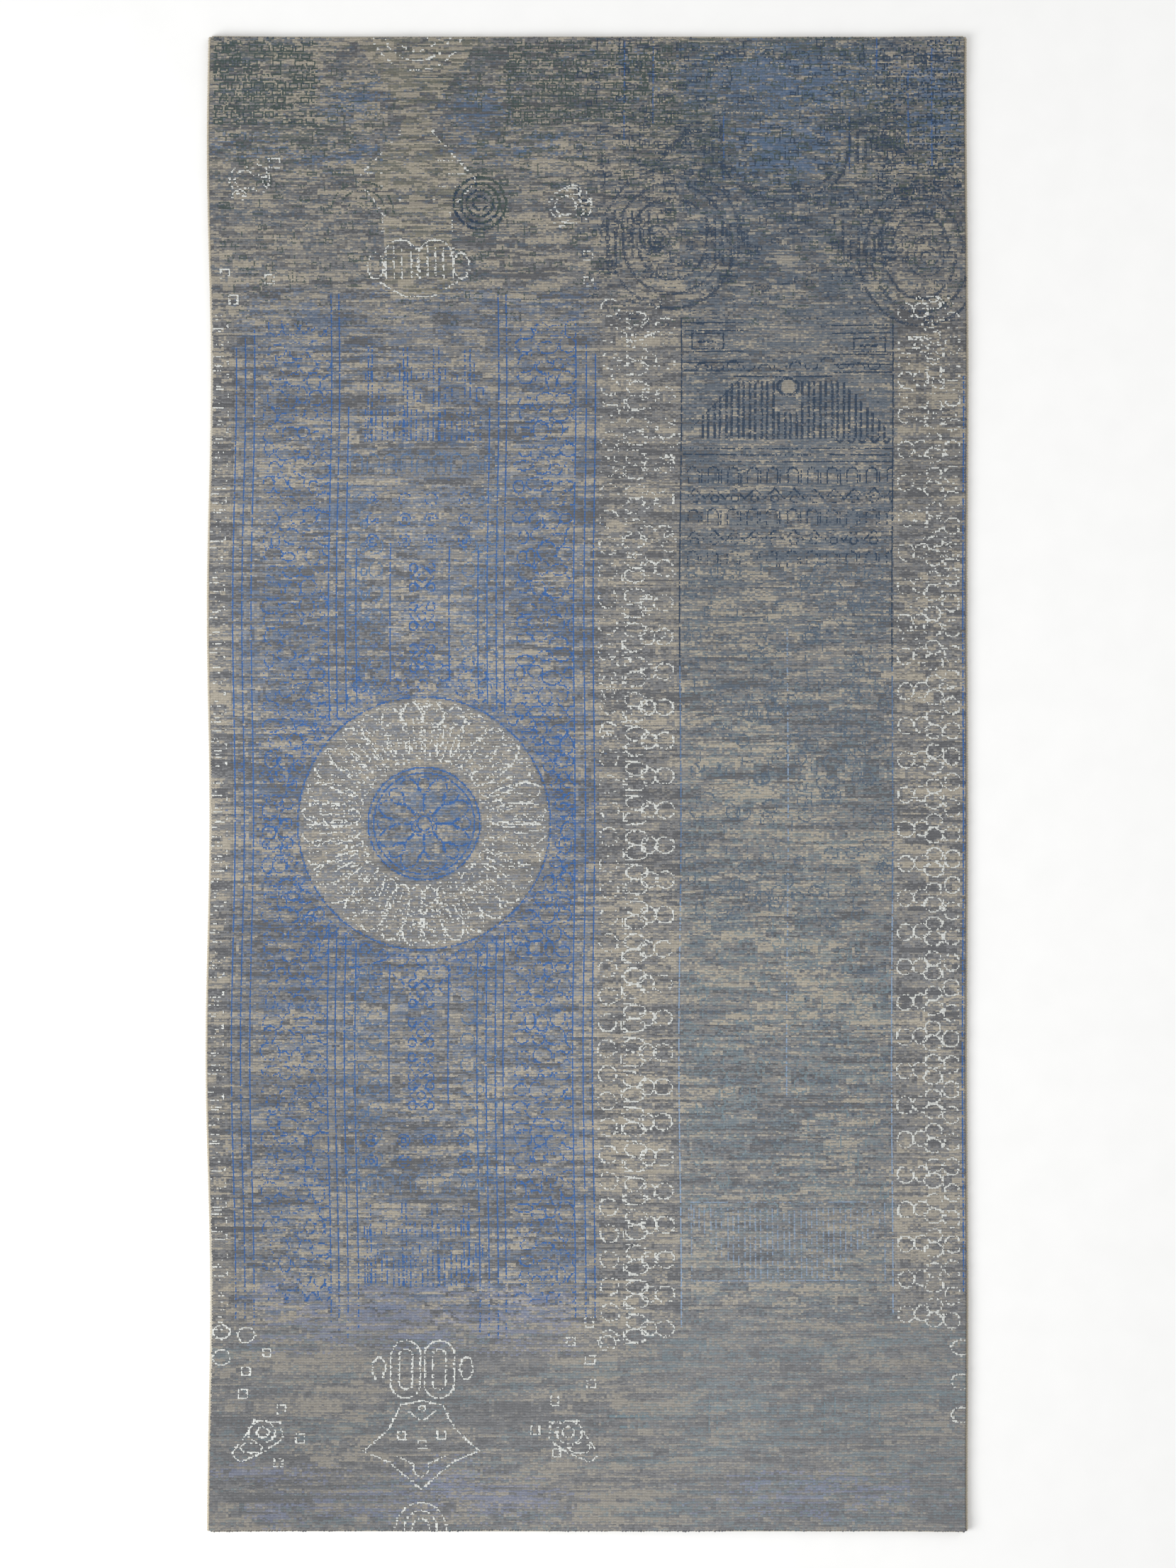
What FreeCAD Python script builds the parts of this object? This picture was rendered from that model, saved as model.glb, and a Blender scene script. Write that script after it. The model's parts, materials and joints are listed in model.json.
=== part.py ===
# Hand-knotted runner rug, 0.80 x 1.574 m, as a parametric FreeCAD document. Millimetres.
#
# The frame: origin on the floor under the rug's middle, +X across the rug, +Y along it towards the
# head end, +Z up. From the floor up the rug is made of
#   - kilim ends: the woven web past the pile, folded under and sewn down, which lifts the rug a little
#   - knot collars and weft threads: the back of the rug, one row of collars to each row of knots
#   - warp threads: two to a knot, running the whole length
#   - the pile: wool knots cut to one height, grouped in the fields of the design
#   - silk knots: outlines that stand slightly proud of the wool
#   - side cords: a cotton core overcast with wool along both long edges
import FreeCAD, Part
import math
import os

import Sketcher

# alias, value, what it is
DIMENSIONS = [
    ("KnotPitch", 2.75, "from knot to knot, across and along"),
    ("KnotsAcross", 288, "knots in a row"),
    ("KnotRows", 570, "rows of knots"),
    ("EdgeStripeColumns", 8, "ring stripe along the left edge, cut short by it"),
    ("PanelColumns", 140, "blue panel with the medallion"),
    ("RingStripeColumns", 31, "middle ring stripe"),
    ("LinedPanelColumns", 82, "lined panel right of the middle stripe"),
    ("OuterStripeColumns", 25, "ring stripe near the right edge"),
    ("EdgeLineColumns", 2, "blue line along the right edge"),
    ("FootRows", 85, "plain band at the foot end"),
    ("LowerPanelRows", 131, "panel below the medallion's square"),
    ("MedallionRows", 110, "the medallion's square"),
    ("UpperPanelRows", 137, "panel above the medallion's square"),
    ("HeadRows", 107, "dark band at the head end"),
    ("LinedLowerRows", 189, "lower half of the lined panel"),
    ("MedallionColumn", 81, "medallion's centre, in knots from the left"),
    ("MedallionRow", 270, "medallion's centre, in knots from the foot"),
    ("MedallionRadius", 132, "outer radius of the petal ring"),
    ("EyeRadius", 61, "radius of the disc inside the petal ring"),
    ("FlapThickness", 1.0, "woven web of the kilim ends"),
    ("FlapDepth", 28, "how far the web is turned under"),
    ("HemEase", 1.8, "web between the last knot and the fold"),
    ("CollarHeight", 0.9, "knot collars on the back"),
    ("WeftGap", 0.9, "space between two rows of collars"),
    ("WeftDiameter", 0.7, "weft thread"),
    ("WarpDiameter", 1.0, "warp thread"),
    ("PileHeight", 5.6, "wool pile above the warps"),
    ("SilkRise", 0.5, "silk knots above the wool"),
    ("RingRadius", 9.3, "outer radius of a silk ring"),
    ("RingRows", 30, "rows of rings in a ring stripe"),
    ("RingFirstRow", 77, "knots from the foot to the lowest rings"),
    ("RingRowPitch", 13.2, "knots from one row of rings to the next"),
    ("OutlineWidth", 2.2, "width of a silk outline, a little less than one knot"),
    ("PetalCount", 32, "petals round the medallion"),
    ("PetalMargin", 4.0, "wool left bare at each end of a petal"),
    ("FootArchRow", 61.5, "middle of the foot band's silk arches"),
    ("HeadArchRow", 485, "middle of the head band's silk arches"),
    ("SideCordDiameter", 4.0, "overcast side cord"),
    ("CoreDiameter", 2.4, "cotton core of the side cord"),
    ("TwiningDiameter", 1.2, "locking cord after the last row of knots"),
    ("StitchDiameter", 0.6, "hem stitch thread"),
    ("StitchLength", 6.0, "hem stitch"),
    ("StitchSlant", 26, "degrees a hem stitch leans from the rug's length"),
    ("StitchClearance", 0.2, "between a hem stitch and the flap's edge"),
    ("StitchSpacing", 12.0, "from stitch to stitch"),
]

doc = FreeCAD.newDocument("RunnerRug")
sheet = doc.addObject("Spreadsheet::Sheet", "Dimensions")
for line, (alias, value, note) in enumerate(DIMENSIONS, start=1):
    sheet.set(f"A{line}", alias)
    sheet.set(f"B{line}", str(value))
    sheet.setAlias(f"B{line}", alias)
    sheet.set(f"C{line}", note)
doc.recompute()


def size(alias):
    """A dimension's value, for the shapes that are set in code."""
    return float(sheet.get(alias))


def cells(*aliases):
    """An expression that adds up some cells of the sheet."""
    return " + ".join(f"Dimensions.{alias}" for alias in aliases) or "0"


COLUMNS = [
    "EdgeStripeColumns",
    "PanelColumns",
    "RingStripeColumns",
    "LinedPanelColumns",
    "OuterStripeColumns",
    "EdgeLineColumns",
]
MIDDLE_ROWS = ["LowerPanelRows", "MedallionRows", "UpperPanelRows"]

# Heights above the floor, as expressions
COLLAR_FLOOR = "Dimensions.FlapThickness"
WARP_FLOOR = f"{COLLAR_FLOOR} + Dimensions.CollarHeight"
PILE_FLOOR = f"{WARP_FLOOR} + Dimensions.WarpDiameter"
PILE_TOP = f"{PILE_FLOOR} + Dimensions.PileHeight"

subparts = []


def named(thing, label):
    """Marks a document object as a sub-part whose file is called label."""
    thing.Label = label
    subparts.append(thing)
    return thing


def height_of(expression):
    """The value of one of the height expressions, for the shapes that are set in code."""
    return sum(size(term.split(".")[1]) for term in expression.split(" + "))


def column_x(column):
    """X of the boundary left of a column of knots."""
    return (column - size("KnotsAcross") / 2) * size("KnotPitch")


def row_y(row):
    """Y of the boundary below a row of knots."""
    return (row - size("KnotRows") / 2) * size("KnotPitch")


# ---------------------------------------------------------------- the pile, field by field


def pile_slab(label, left, columns, below, rows):
    """A rectangular field of knots. left, columns, below and rows are expressions in knots."""
    box = doc.addObject("Part::Box", label)
    box.setExpression("Length", f"({columns}) * Dimensions.KnotPitch")
    box.setExpression("Width", f"({rows}) * Dimensions.KnotPitch")
    box.setExpression("Height", "Dimensions.PileHeight")
    half_width = "Dimensions.KnotsAcross / 2"
    half_length = "Dimensions.KnotRows / 2"
    box.setExpression(".Placement.Base.x", f"({left} - {half_width}) * Dimensions.KnotPitch")
    box.setExpression(".Placement.Base.y", f"({below} - {half_length}) * Dimensions.KnotPitch")
    box.setExpression(".Placement.Base.z", PILE_FLOOR)
    return box


def medallion_cylinder(label, radius):
    """A disc of pile about the medallion's centre."""
    disc = doc.addObject("Part::Cylinder", label)
    disc.setExpression("Radius", radius)
    disc.setExpression("Height", "Dimensions.PileHeight")
    across = "(Dimensions.MedallionColumn - Dimensions.KnotsAcross / 2)"
    along = "(Dimensions.MedallionRow - Dimensions.KnotRows / 2)"
    disc.setExpression(".Placement.Base.x", f"{across} * Dimensions.KnotPitch")
    disc.setExpression(".Placement.Base.y", f"{along} * Dimensions.KnotPitch")
    disc.setExpression(".Placement.Base.z", PILE_FLOOR)
    return disc


def cut(label, base, tool):
    """base with tool taken out of it."""
    result = doc.addObject("Part::Cut", label)
    result.Base = base
    result.Tool = tool
    return result


all_rows = cells(*MIDDLE_ROWS)
head_floor = cells("FootRows", *MIDDLE_ROWS)
left_half = cells(*COLUMNS[:2])
right_half = cells(*COLUMNS[2:])

# The bands at both ends are woven in two halves that meet at the panel's right edge
for end, below, rows in (("foot", "0", cells("FootRows")), ("head", head_floor, cells("HeadRows"))):
    named(pile_slab(f"{end}_left_field", "0", left_half, below, rows), f"pile_{end}_left")
    named(pile_slab(f"{end}_right_field", left_half, right_half, below, rows), f"pile_{end}_right")

# The upright stripes between them
for label, index in (
    ("pile_edge_stripe", 0),
    ("pile_ring_stripe", 2),
    ("pile_outer_stripe", 4),
    ("pile_edge_line", 5),
):
    stripe = pile_slab(
        f"{label}_field", cells(*COLUMNS[:index]), cells(COLUMNS[index]), cells("FootRows"), all_rows
    )
    named(stripe, label)

# The lined panel in two halves
upper_lined = f"{all_rows} - Dimensions.LinedLowerRows"
lined_left = cells(*COLUMNS[:3])
lined_columns = cells("LinedPanelColumns")
lower = pile_slab("lined_lower_field", lined_left, lined_columns, cells("FootRows"), cells("LinedLowerRows"))
upper = pile_slab(
    "lined_upper_field", lined_left, lined_columns, cells("FootRows", "LinedLowerRows"), upper_lined
)
named(lower, "pile_lined_panel_lower")
named(upper, "pile_lined_panel_upper")

# The blue panel: below, around and above the medallion
panel_left = cells("EdgeStripeColumns")
panel_columns = cells("PanelColumns")
for index, label in enumerate(("pile_panel_lower", "panel_square", "pile_panel_upper")):
    below = cells("FootRows", *MIDDLE_ROWS[:index])
    field = pile_slab(f"{label}_field", panel_left, panel_columns, below, cells(MIDDLE_ROWS[index]))
    if label == "panel_square":
        hole = medallion_cylinder("medallion_hole", "Dimensions.MedallionRadius")
        named(cut("panel_round_opening", field, hole), "pile_panel_middle")
    else:
        named(field, label)
ring = medallion_cylinder("medallion_outer", "Dimensions.MedallionRadius")
eye_hole = medallion_cylinder("medallion_eye_hole", "Dimensions.EyeRadius")
named(cut("medallion_petal_ring", ring, eye_hole), "pile_medallion_ring")
named(medallion_cylinder("medallion_eye_disc", "Dimensions.EyeRadius"), "pile_medallion_eye")


# ---------------------------------------------------------------- threads of the foundation


def group(label, solids):
    """Many like pieces in one sub-part, each a solid of its own."""
    feature = doc.addObject("Part::Feature", f"{label}_group")
    feature.Shape = Part.Compound(solids)
    feature.Placement = FreeCAD.Placement()
    return named(feature, label)


def rod(radius, start, end):
    """A straight thread from start to end."""
    along = end - start
    return Part.makeCylinder(radius, along.Length, start, along)


pitch = size("KnotPitch")
left_x = column_x(0)
right_x = column_x(size("KnotsAcross"))
foot_y = row_y(0)
head_y = row_y(size("KnotRows"))
collar_floor = height_of(COLLAR_FLOOR)
warp_height = height_of(WARP_FLOOR) + size("WarpDiameter") / 2

# Two warps to a knot, evenly spread
warps = []
for warp in range(int(2 * size("KnotsAcross"))):
    x = left_x + (warp + 0.5) * pitch / 2
    start = FreeCAD.Vector(x, foot_y, warp_height)
    warps.append(rod(size("WarpDiameter") / 2, start, FreeCAD.Vector(x, head_y, warp_height)))
group("warp_threads", warps)

# One weft between each two rows of knots, on the back
wefts = []
weft_height = collar_floor + size("CollarHeight") / 2
for row in range(1, int(size("KnotRows"))):
    start = FreeCAD.Vector(left_x, row_y(row), weft_height)
    wefts.append(rod(size("WeftDiameter") / 2, start, FreeCAD.Vector(right_x, row_y(row), weft_height)))
group("weft_threads", wefts)

# The loops of each row of knots round the warps, as a bar to a row
collars = []
collar_width = pitch - size("WeftGap")
for row in range(int(size("KnotRows"))):
    corner = FreeCAD.Vector(left_x, row_y(row) + size("WeftGap") / 2, collar_floor)
    collars.append(Part.makeBox(right_x - left_x, collar_width, size("CollarHeight"), corner))
group("knot_collars", collars)


# ---------------------------------------------------------------- silk outlines


def slot_face(length, width):
    """A flat face with straight sides along X and round ends, about the origin."""
    radius = width / 2
    reach = length / 2 - radius
    point = FreeCAD.Vector
    edges = []
    for side in (-1, 1):
        start = point(-side * reach, side * radius, 0)
        end = point(side * reach, side * radius, 0)
        tip = point(side * (reach + radius), 0, 0)
        edges.append(Part.LineSegment(start, end).toShape())
        edges.append(Part.Arc(end, tip, point(side * reach, -side * radius, 0)).toShape())
    return Part.Face(Part.Wire(edges))


def outline(length, width, x, y, turn=0.0):
    """A closed silk outline, longer along X before it is turned by turn degrees, on top of the wool."""
    wall = 2 * size("OutlineWidth")
    face = slot_face(length, width).cut(slot_face(length - wall, width - wall))
    solid = face.extrude(FreeCAD.Vector(0, 0, size("SilkRise")))
    solid.rotate(FreeCAD.Vector(0, 0, 0), FreeCAD.Vector(0, 0, 1), turn)
    solid.translate(FreeCAD.Vector(x, y, height_of(PILE_TOP)))
    return solid


def round_ring(x, y):
    """One ring of a ring stripe."""
    centre = FreeCAD.Vector(x, y, height_of(PILE_TOP))
    outer = Part.makeCylinder(size("RingRadius"), size("SilkRise"), centre)
    inner_radius = size("RingRadius") - size("OutlineWidth")
    return outer.cut(Part.makeCylinder(inner_radius, size("SilkRise"), centre))


# Centres of the rings of one row, in knots from the left and from the row's middle
RINGS_MIDDLE = ((173.2, 0.0), (165.7, 0.0), (161.6, 2.6), (161.6, -2.6), (152.0, -1.0))
RINGS_OUTER = ((265.2, 0.0), (271.2, 0.0), (276.0, 2.6), (276.0, -2.6), (282.4, 1.0))


def ring_rows(places):
    """A stripe of silk rings: the rings of a row that touch are one solid."""
    solids = []
    for row in range(int(size("RingRows"))):
        middle = size("RingFirstRow") + row * size("RingRowPitch")
        rings = [round_ring(column_x(across), row_y(middle + along)) for across, along in places]
        linked = rings[0].multiFuse(rings[1:]).removeSplitter()
        solids.extend(linked.Solids)
    return solids


group("silk_rings_middle", ring_rows(RINGS_MIDDLE))
group("silk_rings_outer", ring_rows(RINGS_OUTER))

medallion_x = column_x(size("MedallionColumn"))
medallion_y = row_y(size("MedallionRow"))
petal_count = int(size("PetalCount"))
petal_length = size("MedallionRadius") - size("EyeRadius") - 2 * size("PetalMargin")
petal_middle = (size("MedallionRadius") + size("EyeRadius")) / 2
# Petals stand side by side at their inner ends, with a gap that leaves each a solid of its own
petal_gap = size("OutlineWidth") / 3
petal_width = 2 * math.pi * (petal_middle - petal_length / 2) / petal_count - petal_gap
petals = []
for petal in range(petal_count):
    turn = 360 * petal / petal_count
    x = medallion_x + petal_middle * math.cos(math.radians(turn))
    y = medallion_y + petal_middle * math.sin(math.radians(turn))
    petals.append(outline(petal_length, petal_width, x, y, turn))
group("silk_petals", petals)


# Length and width of each upright outline of a silk arch motif, and how far it stands from the middle
ARCH_OUTLINES = ((60, 31, 17.5), (42, 13.5, 17.5), (24, 13, 46))


def arches(middle_row):
    """Two tall arches, one outline inside the other, with a small oval on each side."""
    upright = 90
    solids = []
    for length, width, offset in ARCH_OUTLINES:
        for side in (-1, 1):
            x = medallion_x + side * offset
            solids.append(outline(length, width, x, row_y(middle_row), upright))
    return solids


group("silk_arches_foot", arches(size("FootArchRow")))
group("silk_arches_head", arches(size("HeadArchRow")))


# ---------------------------------------------------------------- edges and ends


def fixed(sketch, constraint, expression):
    """Adds a constraint whose value is bound to the sheet."""
    number = sketch.addConstraint(constraint)
    sketch.setExpression(f"Constraints[{number}]", expression)


def plane_of(body, role):
    """One of a body's own origin planes."""
    return next(feature for feature in body.Origin.OriginFeatures if feature.Role == role)


def sketch_in(body, role):
    """A new sketch on one of the body's origin planes."""
    sketch = body.newObject("Sketcher::SketchObject", f"{body.Name}_sketch")
    sketch.AttachmentSupport = [(plane_of(body, role), "")]
    sketch.MapMode = "FlatFace"
    return sketch


def padded_both_ways(body, sketch, length):
    """The sketch padded to length, half to each side of its plane."""
    pad = body.newObject("PartDesign::Pad", f"{body.Name}_pad")
    pad.Profile = sketch
    pad.Midplane = True
    pad.setExpression("Length", length)
    sketch.Visibility = False
    return pad


CORD_LENGTH = "Dimensions.KnotRows * Dimensions.KnotPitch + 2 * Dimensions.HemEase"
CORD_X = "Dimensions.KnotsAcross * Dimensions.KnotPitch / 2 + Dimensions.SideCordDiameter / 2"


def side_cord(label, side, outer, inner=None):
    """A round cord along one side of the rug, hollow where an inner diameter is given."""
    body = doc.addObject("PartDesign::Body", f"{label}_body")
    sketch = sketch_in(body, "XZ_Plane")
    for diameter in filter(None, (outer, inner)):
        circle = Part.Circle(FreeCAD.Vector(0, 0, 0), FreeCAD.Vector(0, 0, 1), size(diameter) / 2)
        number = sketch.addGeometry(circle)
        sketch.addConstraint(Sketcher.Constraint("Coincident", number, 3, -1, 1))
        fixed(sketch, Sketcher.Constraint("Diameter", number, size(diameter)), f"Dimensions.{diameter}")
    padded_both_ways(body, sketch, CORD_LENGTH)
    body.setExpression(".Placement.Base.x", f"{side} * ({CORD_X})")
    body.setExpression(".Placement.Base.z", "Dimensions.SideCordDiameter / 2")
    return named(body, label)


for name, side in (("left", -1), ("right", 1)):
    side_cord(f"side_cord_core_{name}", side, "CoreDiameter")
    side_cord(f"side_cord_wrap_{name}", side, "SideCordDiameter", "CoreDiameter")


def kilim_end(label, turned):
    """The web past the last knot: a flat strip that folds round under the collars and lies on the floor.

    Its section is a U on its side: an upper leg at the height of the warps, half a ring, and a long
    lower leg. turned is True for the foot end."""
    thick = size("FlapThickness")
    outer = (height_of(WARP_FLOOR) + thick) / 2
    upper_start = head_y
    fold = head_y + size("HemEase")
    flap_end = head_y - size("FlapDepth")
    body = doc.addObject("PartDesign::Body", f"{label}_body")
    sketch = sketch_in(body, "YZ_Plane")
    point = FreeCAD.Vector
    corners = [
        (point(flap_end, 0, 0), point(fold, 0, 0)),
        (point(fold, 2 * outer, 0), point(upper_start, 2 * outer, 0)),
        (point(upper_start, 2 * outer, 0), point(upper_start, 2 * outer - thick, 0)),
        (point(upper_start, 2 * outer - thick, 0), point(fold, 2 * outer - thick, 0)),
        (point(fold, thick, 0), point(flap_end, thick, 0)),
        (point(flap_end, thick, 0), point(flap_end, 0, 0)),
    ]
    bottom, top, start_edge, under_top, over_flap, flap_edge = [
        sketch.addGeometry(Part.LineSegment(*ends)) for ends in corners
    ]
    middle = point(fold, outer, 0)
    quarter = math.pi / 2
    axis = point(0, 0, 1)
    bend = sketch.addGeometry(Part.ArcOfCircle(Part.Circle(middle, axis, outer), -quarter, quarter))
    inside = sketch.addGeometry(Part.ArcOfCircle(Part.Circle(middle, axis, outer - thick), -quarter, quarter))
    for line in (bottom, top, under_top, over_flap):
        sketch.addConstraint(Sketcher.Constraint("Horizontal", line))
    for line in (start_edge, flap_edge):
        sketch.addConstraint(Sketcher.Constraint("Vertical", line))
    joined = (
        (bottom, 2, bend, 1),
        (bend, 2, top, 1),
        (under_top, 2, inside, 2),
        (inside, 1, over_flap, 1),
    )
    for first, first_end, second, second_end in joined:
        sketch.addConstraint(Sketcher.Constraint("Tangent", first, first_end, second, second_end))
    corners_met = (
        (top, start_edge),
        (start_edge, under_top),
        (over_flap, flap_edge),
        (flap_edge, bottom),
    )
    for first, second in corners_met:
        sketch.addConstraint(Sketcher.Constraint("Coincident", first, 2, second, 1))
    sketch.addConstraint(Sketcher.Constraint("Coincident", bend, 3, inside, 3))
    half_length = "Dimensions.KnotRows * Dimensions.KnotPitch / 2"
    bound = (
        ("DistanceY", bottom, 1, 0.0, "0"),
        ("DistanceX", bottom, 1, flap_end, f"{half_length} - Dimensions.FlapDepth"),
        ("DistanceX", bottom, 2, fold, f"{half_length} + Dimensions.HemEase"),
        ("DistanceX", top, 2, upper_start, half_length),
        ("DistanceY", top, 2, 2 * outer, f"{WARP_FLOOR} + Dimensions.FlapThickness"),
    )
    for kind, line, line_end, value, expression in bound:
        if expression == "0":
            sketch.addConstraint(Sketcher.Constraint("PointOnObject", line, line_end, -1))
        else:
            fixed(sketch, Sketcher.Constraint(kind, -1, 1, line, line_end, value), expression)
    thickness = Sketcher.Constraint("DistanceY", flap_edge, 2, flap_edge, 1, thick)
    fixed(sketch, thickness, "Dimensions.FlapThickness")
    padded_both_ways(body, sketch, "Dimensions.KnotsAcross * Dimensions.KnotPitch")
    if turned:
        body.Placement = FreeCAD.Placement(point(0, 0, 0), FreeCAD.Rotation(axis, 180))
    return named(body, label)


kilim_end("kilim_end_head", False)
kilim_end("kilim_end_foot", True)


def end_twining(label, end):
    """The locking cord that lies on the web against the last row of knots."""
    cord = doc.addObject("Part::Cylinder", f"{label}_cord")
    half_length = "Dimensions.KnotRows * Dimensions.KnotPitch / 2"
    cord.setExpression("Radius", "Dimensions.TwiningDiameter / 2")
    cord.setExpression("Height", "Dimensions.KnotsAcross * Dimensions.KnotPitch")
    cord.Placement = FreeCAD.Placement(FreeCAD.Vector(0, 0, 0), FreeCAD.Rotation(FreeCAD.Vector(0, 1, 0), 90))
    cord.setExpression(".Placement.Base.x", "-Dimensions.KnotsAcross * Dimensions.KnotPitch / 2")
    cord.setExpression(".Placement.Base.y", f"{end} * ({half_length} + Dimensions.TwiningDiameter / 2)")
    cord.setExpression(
        ".Placement.Base.z", f"{WARP_FLOOR} + Dimensions.FlapThickness + Dimensions.TwiningDiameter / 2"
    )
    return named(cord, label)


def hem_stitches(label, end):
    """Slanted stitches from the flap's raw edge into the back of the rug."""
    radius = size("StitchDiameter") / 2
    slant = math.radians(size("StitchSlant"))
    along = -end * size("StitchLength") * math.cos(slant)
    across = size("StitchLength") * math.sin(slant)
    # A slanted rod's round end reaches back past its axis, towards the flap
    end_reach = radius * math.sin(slant)
    edge_y = end * (head_y - size("FlapDepth") - size("StitchClearance") - end_reach)
    count = int((right_x - left_x) / size("StitchSpacing"))
    stitches = []
    for number in range(count):
        x = left_x + (number + 0.5) * (right_x - left_x) / count
        start = FreeCAD.Vector(x, edge_y, collar_floor - radius)
        stitches.append(rod(radius, start, start + FreeCAD.Vector(across, along, 0)))
    return group(label, stitches)


for name, end in (("head", 1), ("foot", -1)):
    end_twining(f"end_twining_{name}", end)
    hem_stitches(f"hem_stitches_{name}", end)


# ---------------------------------------------------------------- check and write

doc.recompute()
for thing in doc.Objects:
    if {"Invalid", "Error"} & set(thing.State):
        raise SystemExit(f"{thing.Name} failed: {thing.State}")
if sum(size(alias) for alias in COLUMNS) != size("KnotsAcross"):
    raise SystemExit("the columns don't add up to the knots across")
if sum(size(alias) for alias in ["FootRows", "HeadRows", *MIDDLE_ROWS]) != size("KnotRows"):
    raise SystemExit("the rows don't add up to the knot rows")
os.makedirs("parts", exist_ok=True)
for part in subparts:
    shape = part.Shape
    if shape.isNull() or not shape.isValid() or not shape.Solids:
        raise SystemExit(f"{part.Label} has no valid solid")
    shape.exportStep(os.path.join("parts", f"{part.Label}.step"))
    box = shape.BoundBox
    print(
        f"{part.Label}: {len(shape.Solids)} solids, "
        f"x {box.XMin:.2f} to {box.XMax:.2f}, y {box.YMin:.2f} to {box.YMax:.2f}, "
        f"z {box.ZMin:.2f} to {box.ZMax:.2f}"
    )
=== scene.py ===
"""Runner rug: hand-knotted wool and silk pile on a cotton foundation, with cords along all its edges."""

import functools
import json
import math

import bmesh
import bpy
import numpy as np
from bpy.props import FloatProperty, FloatVectorProperty, PointerProperty
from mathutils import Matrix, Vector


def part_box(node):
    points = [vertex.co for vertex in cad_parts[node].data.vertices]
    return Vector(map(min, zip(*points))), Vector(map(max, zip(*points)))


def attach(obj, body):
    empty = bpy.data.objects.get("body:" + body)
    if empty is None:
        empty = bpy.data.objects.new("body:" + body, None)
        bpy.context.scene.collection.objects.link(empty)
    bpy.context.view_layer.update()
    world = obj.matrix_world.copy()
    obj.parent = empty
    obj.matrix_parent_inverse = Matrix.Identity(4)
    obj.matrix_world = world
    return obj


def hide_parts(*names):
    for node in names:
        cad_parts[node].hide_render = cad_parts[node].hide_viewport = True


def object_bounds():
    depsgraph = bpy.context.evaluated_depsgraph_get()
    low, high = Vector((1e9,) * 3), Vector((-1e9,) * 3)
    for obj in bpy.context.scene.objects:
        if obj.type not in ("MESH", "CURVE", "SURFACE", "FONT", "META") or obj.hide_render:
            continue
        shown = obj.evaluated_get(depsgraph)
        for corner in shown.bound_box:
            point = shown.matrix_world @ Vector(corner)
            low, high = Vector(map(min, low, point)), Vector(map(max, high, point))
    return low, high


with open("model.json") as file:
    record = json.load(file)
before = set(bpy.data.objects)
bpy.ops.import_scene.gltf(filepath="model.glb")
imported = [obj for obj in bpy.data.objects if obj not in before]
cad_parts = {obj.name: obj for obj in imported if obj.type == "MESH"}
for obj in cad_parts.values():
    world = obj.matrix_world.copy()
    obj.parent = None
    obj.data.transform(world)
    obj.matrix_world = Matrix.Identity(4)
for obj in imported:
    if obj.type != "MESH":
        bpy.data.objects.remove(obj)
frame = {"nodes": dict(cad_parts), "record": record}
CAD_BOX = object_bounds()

bl_info = {
    "name": "Runner Rug",
    "version": (1, 0, 0),
    "blender": (4, 5, 0),
    "location": "View3D > Sidebar > Rug",
    "description": "Makes a hand-knotted runner rug piece by piece",
    "category": "Add Mesh",
}

MM = 0.001
WHOLE_TURN = 2 * math.pi

# The pile fields, each of which is one CAD node and one piece here.
FIELDS = (
    "head_left",
    "head_right",
    "foot_left",
    "foot_right",
    "edge_stripe",
    "ring_stripe",
    "outer_stripe",
    "edge_line",
    "lined_panel_lower",
    "lined_panel_upper",
    "panel_lower",
    "panel_middle",
    "panel_upper",
    "medallion_ring",
    "medallion_eye",
)


def linear(hexa):
    """An sRGB hex colour as linear values: a straight part below 0.04045 and a power of 2.4 above it."""
    parts = np.array([int(hexa[i : i + 2], 16) for i in (0, 2, 4)]) / 255
    return np.where(parts <= 0.04045, parts / 12.92, ((parts + 0.055) / 1.055) ** 2.4)


def rgba(hexa):
    """A hex colour as a socket takes it."""
    return (*linear(hexa), 1.0)


def size_of(name, description, default):
    """A length in metres that a user may change."""
    return FloatProperty(name=name, description=description, default=default, unit="LENGTH", min=0)


def colour_of(name, description, hexa):
    """A colour that a user may change."""
    return FloatVectorProperty(
        name=name, description=description, default=tuple(linear(hexa)), subtype="COLOR", size=3, min=0, max=1
    )


class RugSizes(bpy.types.PropertyGroup):
    """Sizes of the pile, cords and stitches that the frame doesn't give."""

    pitch: size_of("Knot pitch", "From one knot to the next, across and along", 2.75 * MM)
    row_gap: size_of("Row gap", "How deep the deepest gap between two rows of tufts is", 0.75 * MM)
    column_gap: size_of("Column gap", "How deep the gap between two tufts in a row is", 0.32 * MM)
    tuft_jitter: size_of("Tuft jitter", "How much the tufts' heights differ", 0.42 * MM)
    nap: size_of("Nap", "How far the tufts lean towards the foot", 0.38 * MM)
    silk_rise: size_of("Silk rise", "How far the silk stands over the wool", 0.30 * MM)
    outline_drop: size_of("Outline drop", "How far the worn outlines lie under the rest", 0.9 * MM)
    side_wave: size_of("Side wave", "How far the sides wander from a straight line", 1.9 * MM)
    floor_wave: size_of("Floor wave", "How far the rug rises off the floor in its slow waves", 1.2 * MM)
    sag: size_of("Sag", "How far the middle sinks to the floor between the hems", 0.85 * MM)
    wrap_pitch: size_of("Wrap pitch", "From one turn of the overcast yarn to the next", 2.75 * MM)
    wrap_groove: size_of("Wrap groove", "How deep the groove between two turns of yarn is", 0.42 * MM)
    twine_pitch: size_of("Twine pitch", "How far the end cord runs for one turn of its strands", 5.5 * MM)
    stitch_thread: size_of("Stitch thread", "How thick the hem's linen thread is", 0.6 * MM)


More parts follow.
